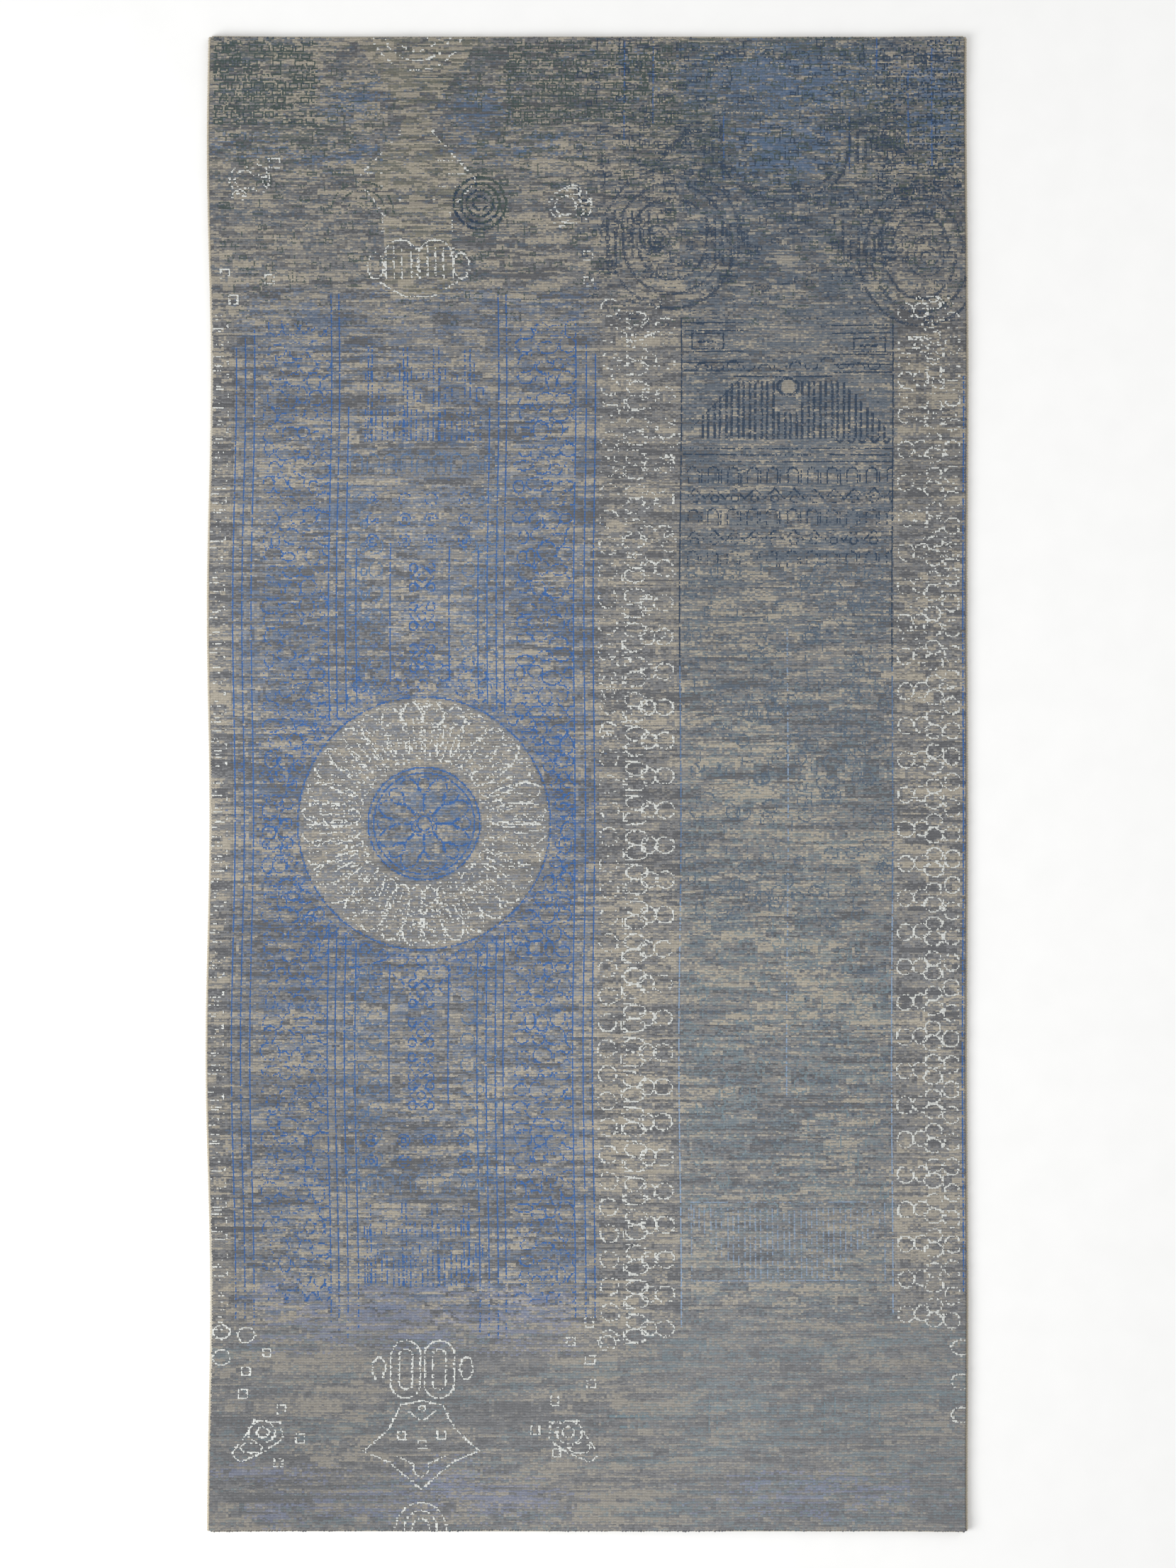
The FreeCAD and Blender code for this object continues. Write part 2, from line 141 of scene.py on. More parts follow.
class RugYarns(bpy.types.PropertyGroup):
    """The colours of the yarns."""

    charcoal: colour_of("Charcoal", "Darkest ground wool", "5c5d60")
    grey: colour_of("Grey", "Middle ground wool", "7a7b7d")
    warm_grey: colour_of("Warm grey", "Lighter ground wool", "918d86")
    beige: colour_of("Beige", "Lightest ground wool", "b0a898")
    silk: colour_of("Silk", "Undyed silk", "d3d5d1")
    cobalt: colour_of("Cobalt", "Strong blue of the outlines", "3f669f")
    denim: colour_of("Denim", "Middle blue of the panel", "5c7596")
    sky: colour_of("Sky", "Pale blue", "8599b2")
    navy: colour_of("Navy", "Dark blue of the lined panel", "36465a")
    slate: colour_of("Slate", "Blue grey", "5d6a78")
    spruce: colour_of("Spruce", "Dark green grey of the head", "4b5856")
    teal: colour_of("Teal", "Pale green blue of the foot", "74838a")
    lavender: colour_of("Lavender", "Pale violet blue of the foot", "7f87a0")
    olive: colour_of("Olive", "Green beige of the head's column", "7b7a6d")
    overcast: colour_of("Overcast", "Yarn that wraps the sides", "bdb4a2")
    cotton: colour_of("Cotton", "Warp and flat-woven ends", "cdc7b8")
    linen: colour_of("Linen", "Hem thread", "b9ab8d")


def rug():
    """The rug's sizes."""
    return bpy.context.scene.rug_sizes


@functools.cache
def yarn(name):
    """A yarn's colour, in linear red, green and blue."""
    return np.array(getattr(bpy.context.scene.rug_yarns, name))


def span(node):
    """A field's left and right columns and low and high rows, in knots from the pile's corner."""
    corner = pile_box()[0]
    low, high = (np.round((np.array(point) - corner) / rug().pitch).astype(int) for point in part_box(node))
    return low[0], high[0], low[1], high[1]


# ---------------------------------------------------------------- design

TIPS = 2  # tips of yarn that a knot shows across and along, which is as fine as an outline is drawn
TIP = 1 / TIPS
HALF_LINE = 0.56 * TIP  # half an outline's width: over half a tip, so that slanted outlines have no gaps

# In the tables below, places and sizes are in knots, columns from the left and rows from the foot.
# Patches where the wool took the dye lighter or darker: middle, half sizes, and by how much.
DYE_PATCHES = (
    (85, 372, 60, 45, 0.08),
    (200, 70, 26, 90, 0.06),
    (200, 355, 26, 30, -0.09),
    (272, 214, 18, 24, 0.08),
    (272, 438, 18, 40, -0.08),
    (15, 555, 18, 18, 0.04),
    (55, 555, 16, 18, -0.05),
    (200, 502, 20, 24, 0.10),
    (225, 556, 50, 14, 0.07),
    (20, 235, 22, 40, -0.04),
    (60, 20, 60, 20, -0.03),
)
# Denim patches in the head band: middle, half sizes and density.
DENIM_PATCHES = (
    (53, 546, 15, 11, 0.6),
    (103, 545, 14, 10, 0.55),
    (50, 524, 32, 7, 0.45),
    (105, 528, 28, 8, 0.45),
    (12, 530, 24, 5, 0.4),
    (218, 555, 44, 13, 0.7),
    (219, 528, 24, 16, 0.7),
    (130, 530, 30, 6, 0.3),
    (278, 545, 14, 24, 0.6),
    (150, 560, 16, 8, 0.3),
)
# Lavender patches in the foot band: middle and half sizes.
LAVENDER_PATCHES = (
    (62, 10, 32, 7),
    (88, 20, 22, 9),
    (20, 22, 40, 4),
    (110, 12, 30, 8),
    (25, 8, 10, 8),
    (230, 14, 40, 9),
)


def layout():
    """The edges of the design's parts in knots, from the pile fields of the frame."""
    edges = {
        "panel": span("pile_panel_upper")[:2],
        "ring_stripe": span("pile_ring_stripe")[:2],
        "lined": span("pile_lined_panel_upper")[:2],
        "outer_stripe": span("pile_outer_stripe")[:2],
        "edge_line": span("pile_edge_line")[:2],
        "edge_stripe": span("pile_edge_stripe")[:2],
        "foot": span("pile_foot_left")[3],
        "head": span("pile_head_left")[2],
        "rows": span("pile_head_left")[3],
        "columns": span("pile_edge_line")[1],
    }
    left, right, low, high = span("pile_medallion_ring")
    edges["medallion"] = (left + right) / 2, (low + high) / 2
    edges["medallion_radius"] = (right - left) / 2
    eye_left, eye_right, _, _ = span("pile_medallion_eye")
    edges["eye_radius"] = (eye_right - eye_left) / 2
    return edges


class Lines:
    """Outlines in a mask of tips. Each call adds to the mask and gives the drawing back."""

    def __init__(self, design, tips=1):
        self.design = design
        self.tips = tips
        self.half_line = HALF_LINE * tips
        self.mask = np.zeros(design.shape, bool)

    def window(self, left, right, low, high):
        """The part of the mask that holds a rectangle in knots, and its tips' places."""
        sides = (low, high), (left, right)
        part = tuple(slice(max(int(a * TIPS) - 1, 0), max(int(b * TIPS) + 2, 0)) for a, b in sides)
        return part, self.design.u[part], self.design.v[part]

    def oval(self, u, v, half_u, half_v, turn=0.0):
        """The outline of an oval: tips whose distance from it, to first order, is under half a line."""
        reach = max(half_u, half_v) + 1
        part, us, vs = self.window(u - reach, u + reach, v - reach, v + reach)
        c, s = math.cos(turn), math.sin(turn)
        x = ((us - u) * c + (vs - v) * s) / half_u
        y = ((vs - v) * c - (us - u) * s) / half_v
        far = np.maximum(np.sqrt(x * x + y * y), 1e-6)
        slope = np.sqrt((x / half_u) ** 2 + (y / half_v) ** 2) / far
        self.mask[part] |= np.abs(far - 1) < self.half_line * slope
        return self

    def bow(self, u, v, half_u, half_v, upper=True):
        """Half of an oval's outline, the upper or the lower."""
        own = Lines(self.design, self.tips).oval(u, v, half_u, half_v).mask
        self.mask |= own & ((self.design.v > v) == upper)
        return self

    def line(self, u0, v0, u1, v1):
        """A straight line: tips nearer to it than half a line's width."""
        length = max(math.hypot(u1 - u0, v1 - v0), 1e-6)
        part, us, vs = self.window(min(u0, u1) - 1, max(u0, u1) + 1, min(v0, v1) - 1, max(v0, v1) + 1)
        du, dv = (u1 - u0) / length, (v1 - v0) / length
        along = (us - u0) * du + (vs - v0) * dv
        off = np.abs((vs - v0) * du - (us - u0) * dv)
        self.mask[part] |= (off < self.half_line) & (along > -TIP / 2) & (along < length + TIP / 2)
        return self

    def path(self, *points):
        """Straight lines from point to point."""
        for start, end in zip(points, points[1:]):
            self.line(*start, *end)
        return self

    def bar(self, left, right, low, high):
        """A filled rectangle, at least as wide as an outline."""
        part = tuple(
            slice(max(int(a * TIPS), 0), max(int(a * TIPS) + self.tips, int(b * TIPS), 1))
            for a, b in ((low, high), (left, right))
        )
        self.mask[part] = True
        return self

    def upright(self, column, low, high):
        """A line up a column."""
        return self.bar(column, column, low, high)

    def level(self, row, left, right):
        """A line along a row."""
        return self.bar(left, right, row, row)

    def frame(self, left, right, low, high):
        """The outline of a rectangle."""
        self.level(low, left, right).level(high, left, right)
        return self.upright(left, low, high).upright(right, low, high + TIP)

    def square(self, u, v, half=1.8):
        """A square in outline."""
        return self.frame(u - half, u + half, v - half, v + half)

    def diamond(self, u, v, half):
        """A square that stands on its corner, in outline."""
        return self.path((u - half, v), (u, v + half), (u + half, v), (u, v - half), (u - half, v))

    def arch(self, u, foot, half, top):
        """An arch on two legs, or a U where its top lies under its foot."""
        sign = 1 if top > foot else -1
        bend = top - sign * half
        low, high = sorted((foot, bend))
        self.bow(u, bend, half, half, top > foot)
        return self.upright(u - half, low, high).upright(u + half, low, high)

    def oblong(self, u, v, half_u, half_v):
        """An upright bar with round ends, in outline."""
        low, high = v - (half_v - half_u), v + (half_v - half_u)
        self.bow(u, high, half_u, half_u).bow(u, low, half_u, half_u, False)
        return self.upright(u - half_u, low, high).upright(u + half_u, low, high)

    def rings(self, places, first, pitch, last, wobble=0.25):
        """Groups of ovals up a column, each group a pitch above the last and moved sideways at random."""
        for v in np.arange(first, last, pitch):
            shift, rise = self.design.random.uniform(-wobble, wobble, 2)
            for u, dv, half_u, half_v in places:
                self.oval(u + shift, v + dv + rise, half_u, half_v)
        return self

    def within(self, mask):
        """The drawing, cut down to its part inside a mask."""
        self.mask &= mask
        return self

    def part(self, mask):
        """A new drawing of the part inside a mask."""
        new = Lines(self.design)
        new.mask = self.mask & mask
        return new


class Design:
    """The knotter's chart: the yarn of each tip of the pile.

    v counts rows from the foot and u counts columns from the left, both in knots."""

    def __init__(self, rows, columns, seed):
        self.knots = (rows, columns)
        self.shape = (rows * TIPS, columns * TIPS)
        self.v, self.u = (np.mgrid[0 : self.shape[0], 0 : self.shape[1]] + 0.5) * TIP
        self.random = np.random.default_rng(seed)
        self.colour = np.zeros((*self.shape, 3))
        self.silk = np.zeros(self.shape, bool)
        self.low = np.zeros(self.shape, bool)

    # -- chance

    def grain(self):
        """An even random number for each knot's pair of tips, the same across it and new on each line of
        tips."""
        return np.repeat(self.random.random((self.shape[0], self.knots[1])), TIPS, axis=1)

    def runs(self, length, lines=1.5):
        """Random numbers that stay the same along runs of about length knots and for about that many lines of
        tips.

        A run starts at a knot by chance, one in length, and takes its number from a table by its order in the
        line. Lines that follow each other share their runs by chance too."""
        size = (self.shape[0], self.knots[1])
        line = np.cumsum(self.random.random(size[0]) < 1 / lines) - 1
        starts = self.random.random(size) < 1 / length
        value = np.take_along_axis(self.random.random(size), np.cumsum(starts, axis=1) % size[1], axis=1)
        return np.repeat(value[np.maximum(line, 0)], TIPS, axis=1)

    def drift(self, across, along, waves=7):
        """Slow change over the rug, from 0 to 1: sines of random turn whose lengths are about across and
        along."""
        total = np.zeros(self.shape)
        for _ in range(waves):
            turn, phase = self.random.uniform(0, WHOLE_TURN, 2)
            stretch = self.random.uniform(0.6, 1.5)
            step = np.cos(turn) * self.u / across + np.sin(turn) * self.v / along
            total += np.sin(WHOLE_TURN * stretch * step + phase)
        return 0.5 + 0.5 * np.tanh(total / math.sqrt(waves))

    def wander(self, reach):
        """How far each line of tips wanders along the rug at each knot's edge, by up to about reach: sines of
        50 to 140 knots whose phase changes slowly from line to line."""
        line = np.arange(self.shape[0] + 1)
        knot = np.arange(self.knots[1] + 1)
        total = np.zeros((len(line), len(knot)))
        for length in (50, 83, 140):
            marks = np.arange(0, len(line) + 24, 24)
            phase = np.interp(line, marks, self.random.uniform(0, 9, len(marks)))
            total += np.sin(WHOLE_TURN * knot / length + phase[:, None])
        return reach * total / 2

    # -- places

    def box(self, left, right, low, high):
        """Tips inside a rectangle."""
        return (self.u > left) & (self.u < right) & (self.v > low) & (self.v < high)

    def ramp(self, along, start, end):
        """0 before start and 1 after end, with a smooth change between."""
        t = np.clip((along - start) / (end - start), 0, 1)
        return t * t * (3 - 2 * t)

    def soft_box(self, left, right, low, high, edge):
        """1 inside a rectangle and 0 outside, with an edge that fades over twice that many knots."""
        inside = np.minimum.reduce([self.u - left, right - self.u, self.v - low, high - self.v])
        return self.ramp(inside, -edge, edge)

    def blob(self, u, v, half_u, half_v):
        """A soft round patch."""
        return np.exp(-(((self.u - u) / half_u) ** 2) - ((self.v - v) / half_v) ** 2)

    # -- yarn

    def tie(self, mask, name, amount=1.0):
        """Changes the yarn of the tips in a mask, wholly or by an amount."""
        share = np.where(mask, amount, 0.0)[..., None]
        self.colour = self.colour * (1 - share) + yarn(name) * share

    def wash(self, density, name, amount=0.85, length=5):
        """Ties a yarn into short runs and single knots, as many of them as the density says."""
        chance = 0.6 * self.runs(length) + 0.4 * self.grain()
        self.tie(chance < density * 0.9, name, amount)

    def worn(self, keep):
        """True for a share of the tips, which come and go in short runs.

        A tip's chance is the mean of two even random numbers, so the limit for a share is read off the sorted
        means of many such pairs."""
        chance = np.sort(np.random.default_rng(5).random((2, 4096)).mean(axis=0))
        limit = np.interp(keep, np.linspace(0, 1, len(chance)), chance)
        return (self.runs(5) + self.random.random(self.shape)) / 2 < limit

    def draw(self, lines, name, keep=0.9, amount=1.0):
        """Draws a worn outline in wool, cut a little lower than the rest."""
        kept = lines.mask & self.worn(keep)
        self.tie(kept, name, amount)
        self.low |= kept

    def shine(self, lines, keep=0.9):
        """Draws a worn outline in silk. Some of its knots show both of a line's tips, which makes dashes."""
        kept = lines.mask & self.worn(keep)
        both = np.repeat(kept.reshape(self.shape[0], -1, TIPS).any(axis=2), TIPS, axis=1)
        self.silk |= kept | both & (self.grain() < 0.30)

    # -- pieces

    def knot_mask(self, tips):
        """Knots whose lower left tip is in a mask of tips."""
        return tips[::TIPS, ::TIPS]

    def field(self, node):
        """The knots of one pile field. The medallion's two fields are round, and the middle panel has a round
        gap."""
        away = self.away
        if node == "pile_medallion_eye":
            return self.knot_mask(away <= self.eye)
        if node == "pile_medallion_ring":
            return self.knot_mask((away <= self.radius) & (away > self.eye))
        mask = self.box(*span(node))
        return self.knot_mask(mask & (away > self.radius) if node == "pile_panel_middle" else mask)

    def silk_groups(self):
        """The silk tips by the piece that they belong to."""
        free = self.silk.copy()
        foot, head = span("pile_foot_left")[3], span("pile_head_left")[2]
        middle = self.box(0, self.knots[1], foot - 14, head + 14)
        zones = {"silk_petals": self.away <= self.radius}
        for name, node in (("middle", "ring"), ("outer", "outer"), ("edge", "edge")):
            left, right = span(f"pile_{node}_stripe")[:2]
            zones["silk_rings_" + name] = middle & self.box(left, right, 0, self.knots[0])
        zones["silk_arches_foot"] = self.v < (foot + head) / 2
        zones["silk_arches_head"] = self.v > 0
        groups = {}
        for name, zone in zones.items():
            groups[name] = free & zone
            free &= ~zone
        return groups


@functools.cache
def chart():
    """The whole design, laid out from the fields' own edges.

    Here and in the functions that draw the parts, c is the chart and s holds the edges of its parts."""
    s = layout()
    c = Design(s["rows"], s["columns"], 11)
    mu, mv = s["medallion"]
    c.away = np.hypot(c.u - mu, c.v - mv)
    c.radius, c.eye = s["medallion_radius"], s["eye_radius"]

    # ground: streaks of four greys
    shade = 0.36 * c.runs(6, 2.2) + 0.26 * c.runs(13, 3) + 0.24 * c.grain() + 0.14 * c.drift(120, 60)
    c.tie(np.ones(c.shape, bool), "grey")
    c.tie(shade < 0.38, "charcoal", 0.78)
    c.tie(shade > 0.52, "warm_grey", 0.65)
    c.tie(shade + 0.12 * (c.drift(90, 40) - 0.5) > 0.62, "beige", 0.68)

    draw_washes(c, s)
    draw_panel(c, s)
    draw_medallion(c, s)
    draw_ring_stripes(c, s)
    draw_lined_panel(c, s)
    draw_head(c, s)
    draw_foot(c, s)

    # each spinning of yarn takes the dye a little differently, and some patches took it lighter or darker;
    # the wool is also painted darker towards the head and at the lower left, and lighter at the lower right,
    # as painted shade and painted light for light that falls unevenly on the pile
    tone = 1 + 0.14 * (c.grain() - 0.5) + 0.10 * (c.runs(7) - 0.5)
    abrash_and_painted_shade = 1.01 - 0.155 * c.ramp(c.v, 340, 540) - 0.17 * c.ramp(c.v, 290, 140) * c.ramp(c.u, 130, 20)
    abrash_and_painted_shade += 0.05 * c.ramp(c.u, 150, 200) * c.ramp(c.v, 230, 150)
    for *patch, lighter in DYE_PATCHES:
        abrash_and_painted_shade += lighter * c.blob(*patch)
    c.colour *= (tone * abrash_and_painted_shade)[..., None]
    # gaps between rows are deep in some runs and shallow in others
    c.row_gap = c.knot_mask(0.35 + 0.65 * c.runs(11, 1))
    # a knot's loops at the back have the mean of its tips' yarns, silk among them
    shown = np.where(c.silk[..., None], yarn("silk"), c.colour)
    c.back = shown.reshape(c.knots[0], TIPS, c.knots[1], TIPS, 3).mean(axis=(1, 3))
    return c


def draw_washes(c, s):
    """The dyed yarns that lie over the ground in patches."""
    left, right = s["panel"]
    foot, head, rows = s["foot"], s["head"], s["rows"]
    near = np.exp(-np.maximum(c.away - c.radius, 0) / 20)
    panel = c.soft_box(left, right, foot - 4, head + 12, 5)
    c.wash(panel * (0.38 + 0.14 * c.drift(60, 50)), "denim", 0.44)
    c.wash(panel * (c.away > c.radius) * (0.06 + 0.32 * near), "cobalt", 0.5, 2)
    lined = c.soft_box(*s["lined"], foot - 6, rows, 3)
    top = c.ramp(c.v, 250, 440)
    c.wash(lined * (0.30 + 0.30 * top), "slate", 0.65, 6)
    c.wash(lined * (0.10 + 0.24 * top * c.drift(50, 40)), "navy", 0.5, 4)
    c.wash(lined * (1 - top) * 0.40, "teal", 0.55, 4)
    # head band, which has the strongest dashes: beige and charcoal yarn that also stands in as painted
    # highlight and painted shadow for the band's embossed relief
    band = c.ramp(c.v, head - 2, head + 22)
    dash_and_painted_relief = c.runs(3.2, 1.3)
    c.tie(dash_and_painted_relief > 1 - 0.17 * band, "beige", 0.6)
    c.tie(dash_and_painted_relief < 0.15 * band, "charcoal", 0.6)
    c.wash(band * 0.30, "slate", 0.65, 7)
    c.wash(band * c.ramp(c.u, 110, 160) * 0.34, "navy", 0.5)
    c.wash(band * (0.22 + 0.28 * c.drift(70, 40)) * c.ramp(c.v, rows - 75, rows - 40), "spruce", 0.55)
    for *patch, density in DENIM_PATCHES:
        c.wash(c.blob(*patch) * density, "denim", 0.6)
    c.wash(hourglass(c, s) * 0.55, "olive", 0.6)
    # foot band, whose streaks are fainter
    base = c.ramp(c.v, foot + 4, foot - 14)
    c.tie(base > 0, "grey", 0.42 * base)
    c.tie(c.u > left, "grey", 0.2 * c.ramp(c.u, right, right + 40) * c.ramp(c.v, 200, 100))
    c.wash(base * c.drift(80, 22) * 0.5, "teal", 0.5, 8)
    c.wash(base * c.ramp(c.u, 140, 190) * 0.36, "teal", 0.5, 8)
    for patch in LAVENDER_PATCHES:
        c.wash(c.blob(*patch) * 0.55, "lavender", 0.5, 7)
    c.wash(c.soft_box(left + 6, right - 8, foot - 16, foot + 10, 8) * 0.5, "lavender", 0.5, 6)


def hourglass(c, s):
    """1 inside the olive column of the head band, which is narrow in two places and wide between."""
    middle, top = s["medallion"][0] - 2, s["rows"]
    marks = top - np.array([98, 74, 66, 54, 36, 28, 0])
    half = np.interp(c.v, marks, [13, 13, 13, 23, 6, 6, 24])
    return c.ramp(half - np.abs(c.u - middle), -1.5, 1.5) * (c.v > marks[0])


def round_medallion(s, count, far, start=0.0):
    """Places at one distance from the medallion's middle: the turn, the column and the row of each."""
    u, v = s["medallion"]
    for k in range(count):
        turn = WHOLE_TURN * (k + start) / count
        yield turn, u + far * math.cos(turn), v + far * math.sin(turn)


def draw_panel(c, s):
    """Blue outlines of the long panel: lines, legs, arches, flowers and worn loops."""
    left, right = s["panel"]
    foot, head = s["foot"], s["head"]
    mu, mv = s["medallion"]
    outside = c.away > c.radius + 4
    near = np.exp(-np.maximum(c.away - c.radius, 0) / 30)
    lines = Lines(c)
    for offset in (0.5, 4.0, 7.6):
        lines.upright(left + offset, foot - 8, head - 12 + offset)
        lines.upright(right - 1.5 - offset, foot - 4, head - 14 + offset)
    for offset, start in ((0, head + 9), (3, head + 9), (6.7, head - 34), (10.4, head - 88)):
        lines.upright(mu - 35.8 + offset, foot - 12, start).upright(mu + 31.4 - offset, foot - 12, start)
    lines.within(outside)
    for low, high in ((mv + c.radius + 6, head - 86), (foot + 78, mv - c.radius - 6)):
        lines.upright(mu - 12.5, low, high).upright(mu + 10.3, low, high)
    fade = c.ramp(c.v, foot - 12, foot + 26)
    c.draw(lines, "cobalt", 0.30 + (0.62 + 0.08 * near) * fade)
    flowers = Lines(c)
    for v in (364, 349, 333, 205, 190, 177, 166):
        flowers.diamond(mu, v, 4.6).oval(mu, v, 1.6, 1.6)
        for du, dv in ((-3.4, 3.8), (3.4, 3.8), (-3.4, -3.8), (3.4, -3.8)):
            flowers.oval(mu + du, v + dv, 1.5, 1.5)
    c.draw(flowers, "cobalt", 0.8)
    rings = Lines(c)
    for side in (-1, 1):
        rings.rings([(mu + side * 17.8, 0, 2.6, 2.8)], foot + 48, 9.0, head - 84)
        pair = [(mu + side * 26.4, 3, 2.3, 2.2), (mu + side * 22.4, -1, 1.2, 1.4)]
        rings.rings(pair, foot + 48, 9.0, head - 60)
    c.draw(rings.within(outside), "denim", 0.75)
    for base in (head - 59, foot + 44):
        arches = Lines(c)
        for k in range(9):
            arches.arch(mu - 26 + k * 6.4, base, 2.2, base + 7)
        c.draw(arches, "denim", 0.85)
    rings = Lines(c)
    for v in (head - 69, head - 77, head - 85, foot + 56, foot + 64):
        for du in (-19.3, -7, 3, 16):
            rings.oval(mu + du, v, 2.2, 2.2).oval(mu + du, v, 0.8, 0.8)
    c.draw(rings, "cobalt", 0.62)
    for low, high in ((head - 47, head - 11), (foot + 8, foot + 40)):
        bars = Lines(c)
        for du in (-22, -8.5, 3.4, 15.4):
            bars.upright(mu + du, low, high).upright(mu + du + 1.9, low, high)
            bars.frame(mu + du + 4.4, mu + du + 6.8, high - 21, high - 16)
        for k in range(21):
            bars.upright(mu - 23 + k * 2.2, low, low + 12)
            bars.upright(mu - 23 + k * 2.2, high - 13, high - 13 + 7 * c.random.random())
        c.draw(bars, "cobalt", 0.62)
    # side lanes: worn loops, denser on the right
    for start, end, keep in ((left + 11, mu - 37, 0.5), (mu + 34, right - 10, 0.62)):
        loops = Lines(c)
        for v in np.arange(foot + 4, head - 4, 6.6):
            u = start + c.random.uniform(0, 3)
            while u < end:
                half_u, half_v = c.random.uniform((1.6, 1.6), (3.8, 3.6))
                loops.oval(u + half_u, v + c.random.uniform(-1.5, 1.5), half_u, half_v)
                u += half_u * 2 + c.random.uniform(-0.5, 1.5)
        loops.within(c.box(start - 1, end + 1, foot + 2, head) & outside)
        c.draw(loops, "cobalt", (keep + 0.2 * near) * (0.6 + 0.4 * fade))
    # halo round the medallion
    halo = Lines(c)
    for far, half in ((c.radius + 4.6, 2.0), (c.radius + 9.6, 2.6), (c.radius + 15, 2.2)):
        for _, u, v in round_medallion(s, 44, far):
            halo.oval(u, v, half, half)
    halo.within(c.box(left + 9, right - 9, 0, s["rows"]))
    c.draw(halo, "cobalt", 0.2 + 0.42 * np.exp(-np.maximum(c.away - c.radius - 5, 0) / 9))
    c.draw(Lines(c).oval(mu, mv, c.radius + 0.3, c.radius + 0.3), "cobalt", 0.8)


def draw_medallion(c, s):
    """A pale ring of crossing petals round a dark disc with a flower of eight loops."""
    mu, mv = s["medallion"]
    radius, eye = c.radius, c.eye
    ring, disc = (c.away < radius - 0.5) & (c.away > eye), c.away <= eye
    c.tie(ring, "warm_grey", 0.35)
    c.wash(np.where(ring, 0.30, 0), "beige", 0.5, 8)
    c.wash(np.where(ring, 0.30, 0), "grey", 0.6, 6)
    count = 32
    petals = Lines(c)
    for turn, u, v in round_medallion(s, count, (radius + eye) / 2 + 0.4, 0.5):
        petals.oval(u, v, (radius - eye) / 2 - 2.0, 4.4, turn)
    veins = Lines(c)
    for part, start, end in ((0.5, eye + 4, radius - 8), (0.0, eye + 8, radius - 3)):
        ends = zip(round_medallion(s, count, start, part), round_medallion(s, count, end, part))
        for (_, *inner), (_, *outer) in ends:
            veins.line(*inner, *outer)
    tiers = Lines(c)
    for count, far, half_u, half_v in (
        (34, eye + 5.6, 4.4, 1.7),
        (46, eye + 13.4, 4.8, 1.9),
        (58, eye + 20.4, 4.4, 2.0),
    ):
        for turn, u, v in round_medallion(s, count, far):
            tiers.oval(u, v, half_u, half_v, turn)
    c.shine(petals.within(ring), 0.50)
    c.shine(veins.within(ring), 0.28)
    c.shine(tiers.within(ring), 0.13)
    c.wash(np.where(disc, 0.42, 0), "denim", 0.5, 4)
    c.wash(np.where(disc, 0.30, 0), "charcoal", 0.5, 4)
    circles = Lines(c).oval(mu, mv, eye - 0.7, eye - 0.7).oval(mu, mv, eye - 2.7, eye - 2.7)
    c.draw(circles, "cobalt", 0.92)
    flower = Lines(c).oval(mu, mv, 2.6, 2.6).oval(mu, mv, 5.0, 5.0)
    for far, half_u, half_v, start in ((0.50, 0.34, 0.17, 0.5), (0.66, 0.15, 0.11, 1.0)):
        for turn, u, v in round_medallion(s, 8, eye * far, start):
            flower.oval(u, v, eye * half_u, eye * half_v, turn)
    c.draw(flower.within(c.away < eye - 3), "cobalt", 0.72)


